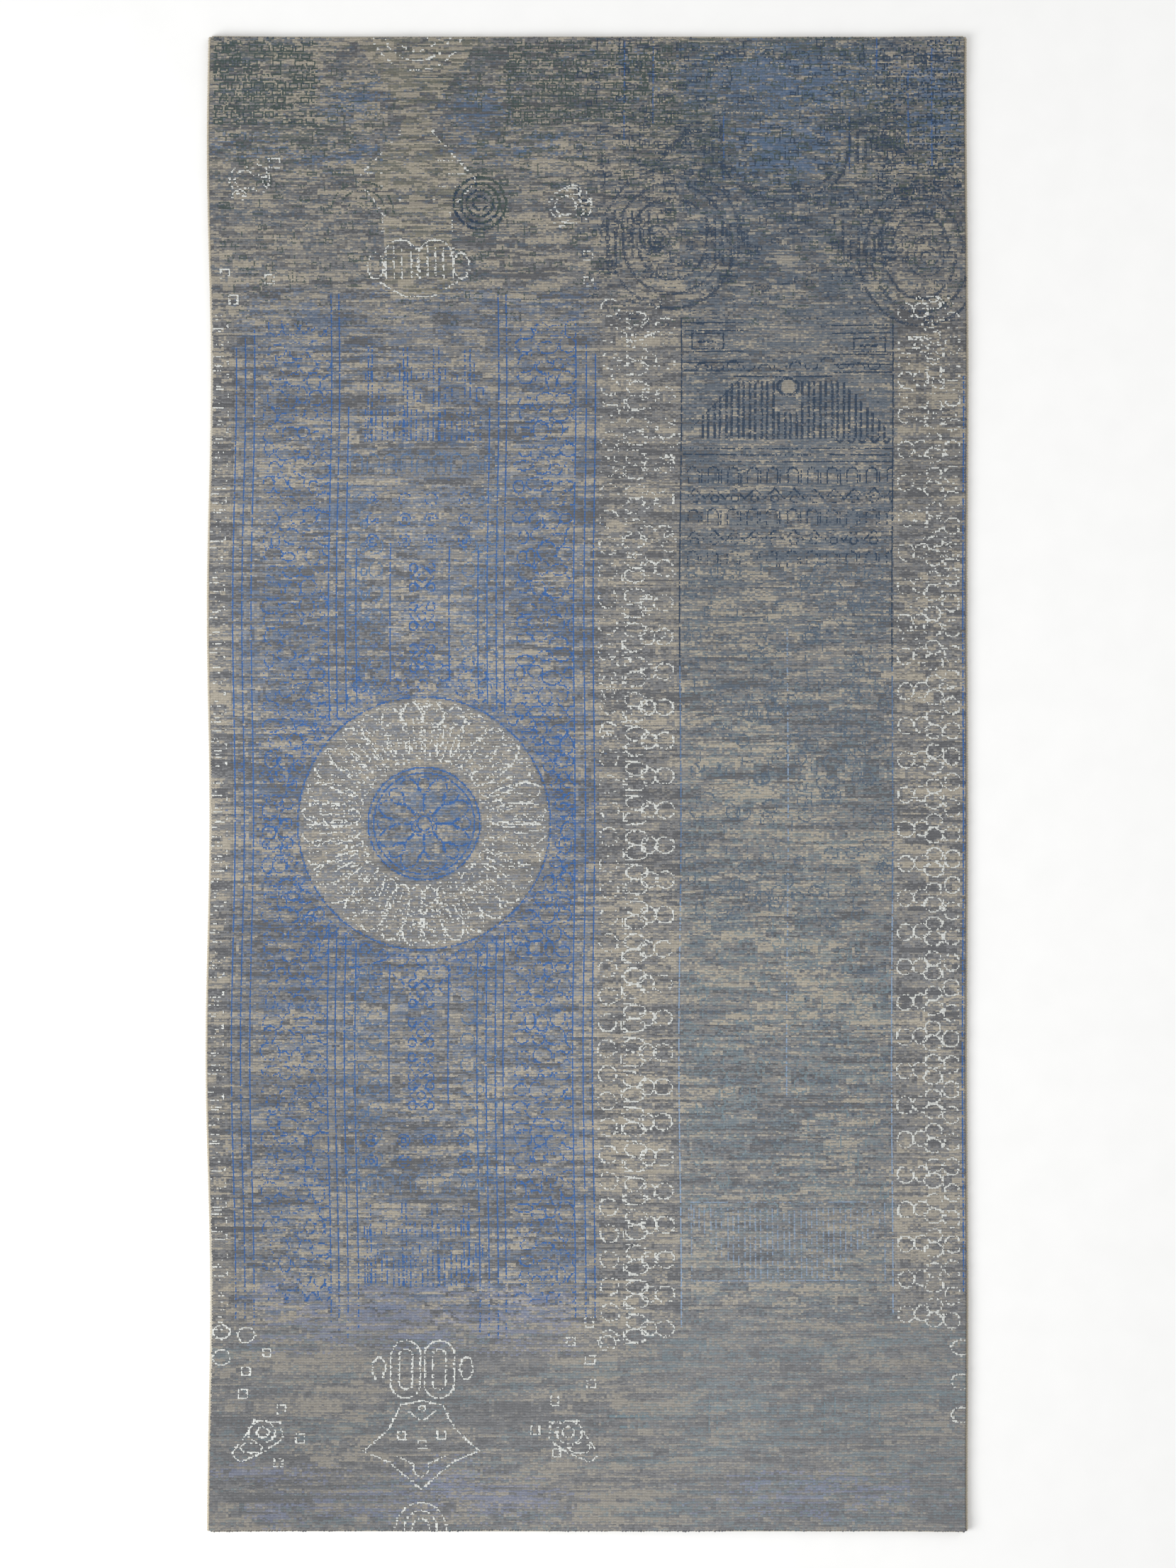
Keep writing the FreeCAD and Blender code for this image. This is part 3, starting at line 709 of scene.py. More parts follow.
def draw_ring_stripes(c, s):
    """Chains of small silk rings up both stripes, and rings cut by the left edge."""
    foot, head = s["foot"], s["head"]
    (left, right), (outer, outer_right) = s["ring_stripe"], s["outer_stripe"]
    low, high = foot - 8, head + 9
    for start, end in (s["ring_stripe"], s["outer_stripe"]):
        stripe = c.soft_box(start, end, foot, head, 1.5)
        c.wash(stripe * 0.26, "warm_grey", 0.55, 8)
        c.wash(stripe * (0.16 + 0.24 * c.ramp(c.v, 280, 340) * (c.u > right)), "charcoal", 0.5, 7)
    rings = Lines(c)
    step = 13.2
    group = [
        (right - 5.8, 0, 3.5, 3.1),
        (right - 12.0, 0, 3.0, 3.0),
        (right - 16.6, 2.7, 4.2, 2.6),
        (right - 16.8, -2.8, 4.2, 2.7),
    ]
    rings.rings(group, low, step, high)
    worn = Lines(c).rings([(left + 4.0, 0, 3.4, 3.3)], low - 4, 10.1, high)
    group = [
        (outer + 4.4, 0, 3.0, 3.1),
        (outer + 10.4, 0.4, 2.8, 2.9),
        (outer + 15.2, 3.4, 3.0, 2.6),
        (outer + 15.0, -2.3, 3.4, 2.8),
    ]
    rings.rings(group, low + 6, step, high)
    rings.rings([(outer_right - 2.9, 0, 3.1, 3.2)], low + 3, 9.8, high)
    for v in np.arange(low, high, step):
        rings.upright(left + 9.4, v - 4.5, v - 1).upright(outer + 18.8, v + 2, v + 6)
        rings.level(v - 5.6, left + 10, left + 15).level(v + 5.6, left + 10, left + 15)
    stripes = c.box(left, right, 0, high + 4) | c.box(outer, outer_right, 0, high + 4)
    c.shine(rings.within(stripes), 0.72 - 0.34 * c.ramp(c.v, 260, head))
    c.shine(worn, 0.62 - 0.28 * c.ramp(c.v, 150, 300))
    jumble = Lines(c)
    for start, end in ((left + 2, right - 3), (outer + 2, outer_right - 2)):
        for _ in range(40):
            u, v = c.random.uniform(start, end), head + 8 - 190 * c.random.random() ** 1.3
            jumble.oval(u, v, *c.random.uniform(1.6, 3.2, 2))
    c.shine(jumble.within(stripes & (c.v > 300)), 0.2)
    edge, end = Lines(c), s["edge_stripe"][1] - 2.2
    for v in np.arange(low, head - 2, 6.7):
        v += c.random.uniform(-0.6, 0.6)
        edge.level(v, 0.5, end - 1.2).level(v + 3.4, 0, end - 1.8).upright(end, v + 0.5, v + 2.6)
        edge.level(v + c.random.uniform(4.4, 5.6), 1, c.random.uniform(2.5, end))
    c.shine(edge, 0.42)
    start, end = s["edge_line"]
    c.draw(Lines(c).upright(end - 1, foot + 6, head - 22), "cobalt", 0.85)


def draw_lined_panel(c, s):
    """Dark outlines at the top of the lined panel, worn marks down it and a pale comb at the foot."""
    left, right = s["lined"]
    foot, top = s["foot"], s["head"]
    middle = (left + right) / 2
    inside = c.box(left + 1, right - 1, 0, s["rows"])
    c.wash(c.soft_box(left, right, top - 26, top + 4, 2) * 0.3, "beige", 0.35, 4)
    edges = Lines(c).upright(left + 0.3, foot - 8, top).upright(right - 0.8, foot - 2, top)
    for low, high, name, keep in ((330, top, "navy", 0.9), (240, 330, "denim", 0.8), (0, 240, "sky", 0.8)):
        c.draw(edges.part(c.box(0, s["columns"], low, high)), name, keep)
    work = Lines(c)
    for inset in (0, 2.6):
        work.frame(left + 4 + inset, left + 16 - inset, top - 12 + inset, top - 6 - inset)
        work.frame(right - 16 + inset, right - 4 - inset, top - 13 + inset, top - 8 - inset)
    for v in (top - 2, top - 5, top - 13, top - 17, top - 20):
        work.level(v, left + 1, left + 24).level(v - 1, right - 24, right - 1)
    for k in range(12):
        work.bow(left + 8 + k * 6, top - 20 + 3 * c.random.random(), 2.4, 2.0, k % 2 == 0)
    work.level(top - 22.5, left + 20, right - 24).path((left + 4, top - 42), (left + 23, top - 23))
    c.draw(work, "navy", 0.85)
    # the comb: bars under a roof
    base = top - 46
    comb = Lines(c, 2)
    for k in range(32):
        u = left + 8 + k * 2.25
        reach = min(u - left - 3, right - 3 - u)
        roof = min(base + 4 + reach * 1.05, top - 24)
        comb.upright(u, base, base + 10 if abs(u - middle) < 4 else roof)
        if k > 21 and k % 2:
            comb.bow(u + 1.1, base, 1.2, 1.4, False)
    comb.oval(middle, top - 26, 4.0, 3.2)
    c.draw(comb, "navy", 0.8, 0.9)
    c.tie(np.hypot(c.u - middle, c.v - top + 26) < 2.6, "beige", 0.6)
    bands = Lines(c)
    for v in (base - 4, base - 6.5, base - 9):
        bands.level(v, left + 1, right - 1)
    c.draw(bands, "navy", 0.66)
    # zigzags and small arches, dying away downward
    for level in range(5):
        v = base - 15 - level * 8
        work = Lines(c)
        for k in range(11):
            u = left + 2 + k * 7.6
            if level % 2:
                work.path((u, v), (u + 3.8, v + 4), (u + 7.6, v)).oval(u + 3.8, v, 1.4, 1.4)
            else:
                work.arch(u + 3, v - 2, 2.0, v + 4).upright(u + 6, v - 2, v + 3)
        c.draw(work.within(inside), "navy", 0.84 - 0.1 * level)
    for low, high, name, count, keep in (
        (230, base - 50, "slate", 260, 0.7),
        (foot + 36, 230, "teal", 150, 0.6),
    ):
        marks = Lines(c)
        for _ in range(count):
            u, v = c.random.uniform((left + 3, low), (right - 3, high))
            if c.random.random() < 0.5:
                marks.upright(u, v, v + c.random.uniform(2, 6))
            else:
                marks.oval(u, v, *c.random.uniform(1.5, 3, 2))
        c.draw(marks.within(inside), name, keep)
    c.draw(Lines(c).upright(middle, foot + 80, 344), "sky", 0.5)
    comb = Lines(c).frame(left + 4, right - 4, foot + 10, foot + 40)
    for k in range(36):
        u = left + 3 + k * 2.15
        comb.upright(u, max(foot + 34 - 1.1 * min(u - left - 3, right - 3 - u), foot + 11), foot + 38)
    c.draw(comb, "sky", 0.62, 0.7)


def bricks(c, left, right, low, high):
    """Small blocks in outline, each row of them set half a block over."""
    work = Lines(c)
    for course, v in enumerate(np.arange(low, high, 2.8)):
        for u in np.arange(left - 2.2 * (course % 2), right, 4.4):
            if c.random.random() < 0.75:
                work.frame(u + 0.5, u + 3.6, v, v + 1.8)
    return work.within(c.box(left, right, low, high))


def draw_head(c, s):
    """The head band: blocks, an olive column, a silk comb, bull's-eyes and dark angular outlines."""
    top, head = s["rows"], s["head"]
    middle = s["medallion"][0] - 2
    corner = c.soft_box(-9, 42, top - 34, top + 9, 3)
    c.wash(corner * 0.34, "beige", 0.75, 2.5)
    c.draw(bricks(c, 1, 41, top - 33, top - 1), "spruce", 0.9)
    c.wash(corner * 0.14, "navy", 0.6, 2)
    c.draw(bricks(c, 113, 178, top - 33, top - 1), "spruce", 0.75)
    c.draw(bricks(c, 254, 287, top - 62, top - 1), "navy", 0.5)
    c.draw(bricks(c, 182, 254, top - 30, top - 1), "slate", 0.5)
    column = hourglass(c, s)
    c.tie((column > 0.5) & (c.runs(4, 1.3) < 0.3), "beige", 0.7)
    rim = Lines(c)
    rim.mask = (column > 0.35) & (column < 0.75) & (c.v < top - 34) & (c.v > top - 74)
    for row, half in ((top - 47, 14), (top - 52, 19), (top - 57, 15), (top - 62, 9)):
        rim.level(row, middle - half, middle - half + 7).level(row, middle + half - 7, middle + half)
    for r in (5, 9, 13, 17):
        rim.bow(middle, top + 3, r, r * 0.9, False)
    c.shine(rim, 0.3)
    comb = Lines(c)
    for k in range(9):
        comb.upright(middle - 12.5 + k * 3.2, top - 92, top - 80 + 1.2 * (k % 2))
    for side in (-1, 1):
        comb.arch(middle + side * 6.6, top - 91, 6.4, top - 77)
        comb.oval(middle + side * 16.4, top - 87, 3.0, 5.0)
        comb.line(middle + side * 15, top - 93, middle + side * 5, top - 99)
    comb.level(top - 99, middle - 5, middle + 5)
    c.shine(comb, 0.66)
    eyes = Lines(c, 2)
    for r in (2.5, 5.0, 7.4, 9.9):
        eyes.oval(middle + 24, top - 63, r, r)
    c.draw(eyes, "spruce", 0.66)
    c.draw(eyes.part(c.u + 0.6 * c.v < middle + 27 + 0.6 * (top - 60)), "navy", 0.6)
    eyes = Lines(c)
    for r in (3, 6, 9, 12):
        eyes.bow(middle - 21, top - 67, r, r)
    c.draw(eyes, "spruce", 0.65)
    tangles = Lines(c)
    for u, v, r in ((15.3, top - 54, 7.5), (137.7, top - 64, 8.0)):
        tangles.oval(u, v, r, r * 0.85).oval(u - 2, v, r * 0.5, r * 0.45).oval(u + 3, v - 2, 2.2, 2.2)
        tangles.oval(u + 1, v + 6, 2.6, 2.0).oval(u - 4, v - 6, 2.6, 2.0).oval(u + 5, v + 3, 1.8, 2.4)
    c.shine(tangles, 0.42)
    squares = Lines(c)
    for u, down in ((144, 83), (144, 93), (24.7, 48), (22, 92), (5, 90), (8, 100)):
        squares.square(u, top - down)
    c.shine(squares, 0.6)
    # right half: thin uprights
    uprights = Lines(c)
    for u, low, high in (
        (158, 39, 1),
        (169, 33, 1),
        (254.5, 12, 0),
        (266.7, 40, 10),
        (275.6, 50, 4),
        (196, 54, 30),
        (244, 50, 30),
    ):
        uprights.upright(u, top - low, top - high)
    c.draw(uprights, "cobalt", 0.75, 0.8)
    # angular corners, and barred arches round bull's-eyes
    work = Lines(c, 2)
    middle = 219.5
    for k in range(3):
        for side in (-1, 1):
            u = middle + side * (24.5 + 3.2 * k)
            work.upright(u, top - 50 + 2 * k, top - 33 - 3 * k)
            far = u + side * (11 - 2.5 * k)
            work.level(top - 33 - 3 * k, min(u, far), max(u, far))
            work.line(far, top - 33 - 3 * k, far + side * (14 - 2 * k), top - 48 + k)
    work.bow(middle, top - 44, 24, 18, False).bow(middle, top - 44, 21, 15, False)
    bulls = Lines(c)
    for u, v in ((171, top - 76), (260, top - 80), (273, top - 84)):
        for r in (2.0, 4.4, 7.0):
            bulls.oval(u, v, r, r)
    c.draw(bulls, "navy", 0.7, 0.8)
    for k in range(6):
        work.upright(151 + k * 3.2, top - 90 + 2 * k, top - 66)
        work.upright(189 + k * 3.1, top - 88 + k, top - 66 - 1.4 * k)
        work.upright(241 + k * 3.0, top - 86, top - 70 - k)
        work.bow(271, top - 82, 11 + 2.6 * k, 15 + 2.6 * k, k % 2 == 0)
        work.bow(176, top - 78, 13 + 2.8 * k, 14 + 2.8 * k, k % 2 == 1)
    c.draw(work.within(c.box(146, s["columns"], head - 4, top)), "navy", 0.66, 0.8)
    c.tie(c.blob(219, top - 84, 10, 5) + 0.5 * c.runs(6, 1.2) > 1.05, "beige", 0.55)
    for name, count, start in (("spruce", 1100, 2), ("navy", 700, 140)):
        marks = Lines(c)
        for _ in range(count):
            u, v = c.random.uniform((start, head - 4), (286, top - 3))
            chance = c.random.random()
            if chance < 0.5:
                marks.frame(u, u + c.random.uniform(1.5, 4), v, v + c.random.uniform(1.0, 2.2))
            elif chance < 0.75:
                marks.upright(u, v, v + c.random.uniform(2, 5))
            else:
                marks.bar(u, u + c.random.uniform(2, 6), v, v + TIP)
        c.draw(marks.within(column < 0.5), name, 0.25 + 0.45 * c.ramp(c.v, head, head + 36), 0.85)


def draw_foot(c, s):
    """The foot band: silk arches, a kite, and small squares and rings at both sides."""
    middle = s["medallion"][0] - 0.5
    work = Lines(c)
    for side in (-1, 1):
        work.oblong(middle + side * 6.4, 61.6, 5.7, 10.9).oblong(middle + side * 6.4, 61.6, 2.5, 7.7)
        work.oval(middle + side * 16.8, 61.9, 2.4, 4.2)
        work.square(middle + side * 7.8, 36.3, 1.5)
        for steps in (
            ((0, 49.7), (8, 48), (12.3, 39), (22, 30.2)),
            ((22, 30.2), (12, 26), (0, 15.6)),
            ((0, 41.5), (5.5, 46)),
            ((9.5, 28.5), (3, 25.5), (2.4, 21.5), (0, 20)),
        ):
            work.path(*((middle + side * du, v) for du, v in steps))
    work.square(middle, 32.5, 1.5).oval(middle, 46.6, 1.2, 1.2)
    for half, high in ((9.7, 10.6), (6.4, 7.6), (3.5, 4.6)):
        work.oval(middle, 0, half, high)
    for u, v in (
        (20.7, 67.6), (11.9, 51.9), (26.7, 45.9), (34.1, 34.9), (26.0, 25.8), (12.9, 60.7), (144.1, 79.5),
        (137.2, 72.1), (144.4, 65.2), (145.1, 56.1), (131.3, 49.5), (123.9, 38.3), (132.1, 29.7),
    ):
        work.square(u, v, 1.6)
    for u, v in ((3.5, 66), (12.9, 74.6), (3.5, 75.8), (151, 71.4)):
        work.oval(u, v, 3.2, 2.8)
    for way, base in ((1, 17.5), (-1, 139.0)):
        steps = ((-9.5, 29), (-3, 38), (-1, 42), (9, 41), (10, 35), (3, 30), (-6, 26), (-9.5, 29))
        work.path(*((base + way * du, v) for du, v in steps))
        work.oval(base + way * 2, 37.5, 5.0, 4.2).oval(base + way * 2.5, 37.5, 2.2, 2.0)
        work.oval(base - way * 2, 31.5, 4, 2)
    for v in (70, 57, 44):
        work.oval(286.5, v, 3.6, 3.0)
    c.shine(work, 0.74)
    faint = Lines(c).bar(152, 168, 43, 44).bar(156, 166, 39, 40)
    for u in (190, 193, 234, 238, 251, 255):
        faint.upright(u, 38, 51)
    c.draw(faint, "teal", 0.7)


# ---------------------------------------------------------------- shape

LOOP_DEPTH = 1.9 * MM  # how far the loops at the back reach down under the cut pile
SILK_EDGE = 0.25 * MM  # how far the rim of a silk tip lies under the pile's height, at most
SILK_ROOT = 2.2 * MM  # how far a silk tip goes down between the wool
STITCHES = 66  # whip stitches at each end
HEM_MARGIN = 1.3 * MM  # from the hem's corner to its first stitch
WEB_COLUMNS = 192  # faces across the woven web, enough for it to follow the rug's slow waves


def lie(points):
    """How the rug lies on the floor: slow waves move every piece alike.

    Across, the sides wander as two sines along the rug, and the head is drawn in by a little. Upward, the
    middle sinks between the hems and the side cords, two crossing sines lift the rug off the floor, and its
    corners rise a little."""
    s = rug()
    x, y, z = np.array(points, float).T
    half_x, half_y = CAD_BOX[1][0], CAD_BOX[1][1]
    along = y / half_y
    wander = np.sin(WHOLE_TURN * y / 0.48 + 2.2) + 0.5 * np.sin(WHOLE_TURN * y / 1.15 - 0.4)
    drawn_in = 0.9 * np.clip(along - 0.55, 0, 1) ** 2 * 4
    x_new = x + s.side_wave * (wander * (0.62 - 0.38 * x / half_x) - drawn_in * x / half_x)
    inland = np.clip(np.minimum(half_x - np.abs(x), half_y - np.abs(y)) / 0.06, 0, 1)
    inland = inland * inland * (3 - 2 * inland)
    waves = np.sin(WHOLE_TURN * (y / 0.66 + x / 1.7)) + np.sin(WHOLE_TURN * (y / 0.41 - x / 0.9) + 1.0)
    lift = s.floor_wave * (0.5 + 0.25 * waves) * (0.35 + 0.65 * inland)
    corner = np.clip(np.abs(along) - 0.93, 0, 1) * np.clip(np.abs(x) / half_x - 0.8, 0, 1)
    return np.stack([x_new, y, z + lift - s.sag * inland + 0.15 * corner], axis=1)


def mesh_object(name, points, faces, smooth=True):
    """A mesh object from arrays of points and of faces, which may have different numbers of corners."""
    mesh = bpy.data.meshes.new(name)
    points = lie(points)
    mesh.vertices.add(len(points))
    mesh.vertices.foreach_set("co", points.ravel().astype(np.float32))
    loops = np.concatenate([group.ravel() for group in faces])
    counts = np.concatenate([np.full(len(group), group.shape[1]) for group in faces])
    mesh.loops.add(len(loops))
    mesh.loops.foreach_set("vertex_index", loops.astype(np.int32))
    mesh.polygons.add(len(counts))
    mesh.polygons.foreach_set("loop_start", (np.cumsum(counts) - counts).astype(np.int32))
    mesh.polygons.foreach_set("use_smooth", np.broadcast_to(smooth, len(counts)).astype(bool))
    mesh.update(calc_edges=True)
    piece = bpy.data.objects.new(name, mesh)
    bpy.context.scene.collection.objects.link(piece)
    return piece


def finish_piece(piece, slot, materials, *nodes):
    """Gives a piece its finishes and its body, hides the CAD nodes that it stands for, and marks it as a
    piece of the rug. The slot is not used.
    """
    for material in materials:
        piece.data.materials.append(material)
    if nodes:
        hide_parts(*nodes)
    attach(piece, "root")
    piece["rug_piece"] = True
    return piece


def slot_of(node):
    """The material slot of a CAD node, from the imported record."""
    return next(part["material_slot"] for part in frame["record"]["subparts"] if part["node"] == node)


@functools.cache
def tuft_points():
    """The pile's top, as a grid of half knots, and its back, as a grid of whole knots, both as arrays of
    points.

    A tuft's middle stands at the pile's height, give or take its own jitter, and leans to the foot by the
    nap. The points between two tufts of a row lie a column's gap lower, and those between two rows lie a
    row's gap lower than the lower tuft, deeper in some runs than in others. Points between tufts are moved
    sideways at random, and each row wanders up and down slowly, so that no two tufts are alike. The back's
    points rise and sink by turns."""
    s = rug()
    c = chart()
    rows, columns = c.knots
    chance = np.random.default_rng(23)
    low, high = pile_box()
    half = s.pitch / 2
    x, y = np.meshgrid(low[0] + half * np.arange(2 * columns + 1), low[1] + half * np.arange(2 * rows + 1))
    top = high[2] - s.tuft_jitter * chance.random(c.knots)
    top -= s.outline_drop * c.low.reshape(rows, TIPS, columns, TIPS).mean(axis=(1, 3))
    z = np.zeros(x.shape)
    z[1::2, 1::2] = top
    wide = np.pad(top, 1, mode="edge")
    deep = s.row_gap * np.pad(c.row_gap, ((0, 1), (0, 1)), mode="edge")
    beside = np.minimum(wide[1:-1, :-1], wide[1:-1, 1:])
    z[1::2, 0::2] = beside - s.column_gap * (0.5 + chance.random(beside.shape))
    z[0::2, 1::2] = np.minimum(wide[:-1, 1:-1], wide[1:, 1:-1]) - deep[:, :-1]
    lowest = np.minimum.reduce([wide[:-1, :-1], wide[1:, :-1], wide[:-1, 1:], wide[1:, 1:]])
    z[0::2, 0::2] = lowest - deep - s.column_gap * 0.4
    # sideways, but not at the rug's own edge
    y += np.repeat(c.wander(s.pitch * 0.16), 2, axis=1)[:, : x.shape[1]]
    inside = np.zeros(x.shape)
    inside[1:-1, 1:-1] = half
    x += inside * 0.42 * (chance.random(x.shape) - 0.5)
    y += inside * 0.34 * (chance.random(x.shape) - 0.5)
    y[1::2, 1::2] -= s.nap * (0.5 + chance.random(c.knots))
    back_x, back_y = x[::2, ::2], y[::2, ::2]
    back_z = low[2] - LOOP_DEPTH + 0.1 * MM * (chance.random(back_x.shape) - 0.5)
    return np.stack([x, y, z], axis=-1), np.stack([back_x, back_y, back_z], axis=-1)


# A cell's four sides: the step to the neighbour, and the side's start and end, so that its wall faces out.
SIDES = (
    (-1, 0, (0, 1), (0, 0)),
    (1, 0, (1, 0), (1, 1)),
    (0, -1, (0, 0), (1, 0)),
    (0, 1, (1, 1), (0, 1)),
)


def open_sides(mask):
    """For each of the four sides, the cells of a mask with no neighbour there, and the side's two ends."""
    padded = np.pad(mask, 1)
    rows, columns = mask.shape
    for di, dj, start, end in SIDES:
        neighbour = padded[1 + di : rows + 1 + di, 1 + dj : columns + 1 + dj]
        i, j = np.nonzero(mask & ~neighbour)
        yield i, j, i + start[0], j + start[1], i + end[0], j + end[1]


def pile_mesh(name, points, quads, walls, uv, colours, on_back):
    """A mesh of pile from its points, its smooth faces and its flat walls, with the map that counts knots and
    the yarn of each face."""
    used, order = np.unique(np.concatenate([quads.ravel(), walls.ravel()]), return_inverse=True)
    groups = order[: quads.size].reshape(quads.shape), order[quads.size :].reshape(walls.shape)
    count = len(quads) + len(walls)
    piece = mesh_object(name, points[used], groups, np.arange(count) < len(quads))
    put(piece, "knots", "FLOAT2", "CORNER", np.concatenate([part.ravel() for part in uv]))
    put(piece, "yarn", "FLOAT_COLOR", "FACE", np.concatenate([colours, np.ones((count, 1))], axis=1))
    piece.data.polygons.foreach_set("material_index", np.asarray(on_back, np.int32))
    return piece


def put(piece, name, kind, domain, values):
    """Stores an attribute on a mesh."""
    attribute = piece.data.attributes.new(name, kind, domain)
    channel = "vector" if kind == "FLOAT2" else "color"
    attribute.data.foreach_set(channel, np.asarray(values, np.float32).ravel())


def wool_shell(name, mask):
    """A closed shell of the knots in a mask, from the pile's top through to the loops at the back.

    Each knot has four faces on top, one for each tip, one at the back, and a wall of five corners at each
    side where the next knot is in another piece."""
    c = chart()
    top, back = tuft_points()
    across = top.shape[1]
    i, j = np.nonzero(mask)

    def at_top(row, column):
        return row * across + column

    def at_back(row, column):
        return top.shape[0] * across + row * back.shape[1] + column

    quads, uv, colours = [], [], []
    for a, b in ((0, 0), (0, 1), (1, 1), (1, 0)):
        r, k = 2 * i + a, 2 * j + b
        corners = at_top(r, k), at_top(r, k + 1), at_top(r + 1, k + 1), at_top(r + 1, k)
        quads.append(np.stack(corners, axis=1))
        u, v = k / 2, r / 2
        uv.append(np.stack([u, v, u + 0.5, v, u + 0.5, v + 0.5, u, v + 0.5], axis=1))
        colours.append(c.colour[r, k])
    corners = at_back(i, j), at_back(i + 1, j), at_back(i + 1, j + 1), at_back(i, j + 1)
    quads.append(np.stack(corners, axis=1))
    uv.append(np.stack([j, i, j, i + 1, j + 1, i + 1, j + 1, i], axis=1))
    colours.append(c.back[i, j])
    on_back = np.arange(5 * len(i)) >= 4 * len(i)
    walls, wall_uv = [], []
    for row, column, r0, k0, r1, k1 in open_sides(mask):
        rim = at_top(2 * r0, 2 * k0), at_top(r0 + r1, k0 + k1), at_top(2 * r1, 2 * k1)
        walls.append(np.stack([*rim, at_back(r1, k1), at_back(r0, k0)], axis=1))
        wall_uv.append(np.stack([k0, r0, (k0 + k1) / 2, (r0 + r1) / 2, k1, r1, k1, r1, k0, r0], axis=1))
        colours.append(c.back[row, column])
    walls = np.concatenate(walls)
    points = np.concatenate([top.reshape(-1, 3), back.reshape(-1, 3)])
    on_back = np.concatenate([on_back, np.zeros(len(walls), bool)])
    quads = np.concatenate(quads)
    piece = pile_mesh(name, points, quads, walls, uv + wall_uv, np.concatenate(colours), on_back)
    sharpen(piece, quads.size)
    return piece


def sharpen(piece, start):
    """Makes the edges of the faces from a corner onward sharp, so that a wall doesn't bend the shading beside
    it and two fields meet without a seam."""
    mesh = piece.data
    edge = np.empty(len(mesh.loops), np.int32)
    mesh.loops.foreach_get("edge_index", edge)
    sharp = np.zeros(len(mesh.edges), bool)
    sharp[edge[start:]] = True
    mesh.edges.foreach_set("use_edge_sharp", sharp)


def silk_shell(name, mask):
    """A closed shell of the silk tips in a mask, which stand over the wool and go down between its tufts.

    Each tip is a low pyramid on the pile's grid: its corners stand at the pile's height and its middle by the
    silk's rise over it. Its walls and its base lie in the wool."""
    s = rug()
    top, _ = tuft_points()
    high = pile_box()[1][2]
    chance = np.random.default_rng(29)
    rows, across = top.shape[:2]
    crown = top.copy()
    crown[..., 2] = np.maximum(top[..., 2] + 0.1 * MM, high - SILK_EDGE)
    base = top.copy()
    base[..., 2] = high - SILK_ROOT
    i, j = np.nonzero(mask)
    middles = (crown[i, j] + crown[i + 1, j] + crown[i, j + 1] + crown[i + 1, j + 1]) / 4
    middles[:, 2] = high + s.silk_rise * (0.4 + 0.6 * chance.random(len(i)))

    def at(row, column, layer=0):
        return layer * rows * across + row * across + column

    apex = 2 * rows * across + np.arange(len(i))
    corners = [at(i, j), at(i, j + 1), at(i + 1, j + 1), at(i + 1, j)]
    places = np.stack([j, i, j + 1, i, j + 1, i + 1, j, i + 1], axis=1) * TIP
    triangles, uv = [], []
    for k in range(4):
        triangles.append(np.stack([corners[k], corners[(k + 1) % 4], apex], axis=1))
        own = [places[:, 2 * k], places[:, 2 * k + 1], places[:, (2 * k + 2) % 8], places[:, (2 * k + 3) % 8]]
        uv.append(np.stack([*own, (j + 0.5) * TIP, (i + 0.5) * TIP], axis=1))
    squares = [np.stack([at(i, j, 1), at(i + 1, j, 1), at(i + 1, j + 1, 1), at(i, j + 1, 1)], axis=1)]
    uv.append(places)
    for _, _, r0, k0, r1, k1 in open_sides(mask):
        squares.append(np.stack([at(r0, k0), at(r1, k1), at(r1, k1, 1), at(r0, k0, 1)], axis=1))
        uv.append(np.stack([k0, r0, k1, r1, k1, r1, k0, r0], axis=1) * TIP)
    triangles, squares = np.concatenate(triangles), np.concatenate(squares)
    points = np.concatenate([crown.reshape(-1, 3), base.reshape(-1, 3), middles])
    count = len(triangles) + len(squares)
    colours = np.broadcast_to(yarn("silk"), (count, 3)) * (0.93 + 0.1 * chance.random((count, 1)))
    return pile_mesh(name, points, triangles, squares, uv, colours, np.zeros(count, bool))


def pile_box():
    """The pile's lowest and highest corner."""
    boxes = np.array([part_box("pile_" + field) for field in FIELDS])
    return boxes[:, 0].min(axis=0), boxes[:, 1].max(axis=0)


def tube_faces(around, along, shift=0):
    """The faces of a tube whose points are in rings. The last point of a ring joins the first, shift rings
    on."""
    k, m = np.meshgrid(np.arange(around), np.arange(along - 1))
    far = (k + 1) % around
    on = np.where(k + 1 == around, shift, 0)
    keep = m + on + 1 < along
    corners = m * around + k, (m + on) * around + far, (m + on + 1) * around + far, (m + 1) * around + k
    return np.stack(corners, axis=-1)[keep]


def closed_tube(middles, radii, around, twist=0.0):
    """A tube with flat ends along middles that run mostly along one axis: each ring stands square to the axis
    that the tube runs along, at a radius of its own, and may be turned."""
    middles = np.asarray(middles, float)
    radii = np.broadcast_to(radii, (len(middles), around))
    run = np.gradient(middles, axis=0)
    run /= np.linalg.norm(run, axis=1, keepdims=True)
    up = np.array([0.0, 0.0, 1.0])
    side = np.cross(run, up)
    side /= np.linalg.norm(side, axis=1, keepdims=True)
    top = np.cross(side, run)
    turn = WHOLE_TURN * np.arange(around) / around + np.broadcast_to(twist, len(middles))[:, None]
    out = np.cos(turn)[..., None] * side[:, None] + np.sin(turn)[..., None] * top[:, None]
    rings = middles[:, None] + radii[..., None] * out
    last = (len(middles) - 1) * around
    caps = np.stack([np.arange(around), last + np.arange(around)[::-1]])
    return rings.reshape(-1, 3), (tube_faces(around, len(middles)), caps)


def several(parts):
    """One set of points and faces from several."""
    points, faces, start = [], {}, 0
    for own_points, own_faces in parts:
        points.append(own_points)
        for group in own_faces:
            faces.setdefault(group.shape[1], []).append(group + start)
        start += len(own_points)
    return np.concatenate(points), [np.concatenate(groups) for groups in faces.values()]


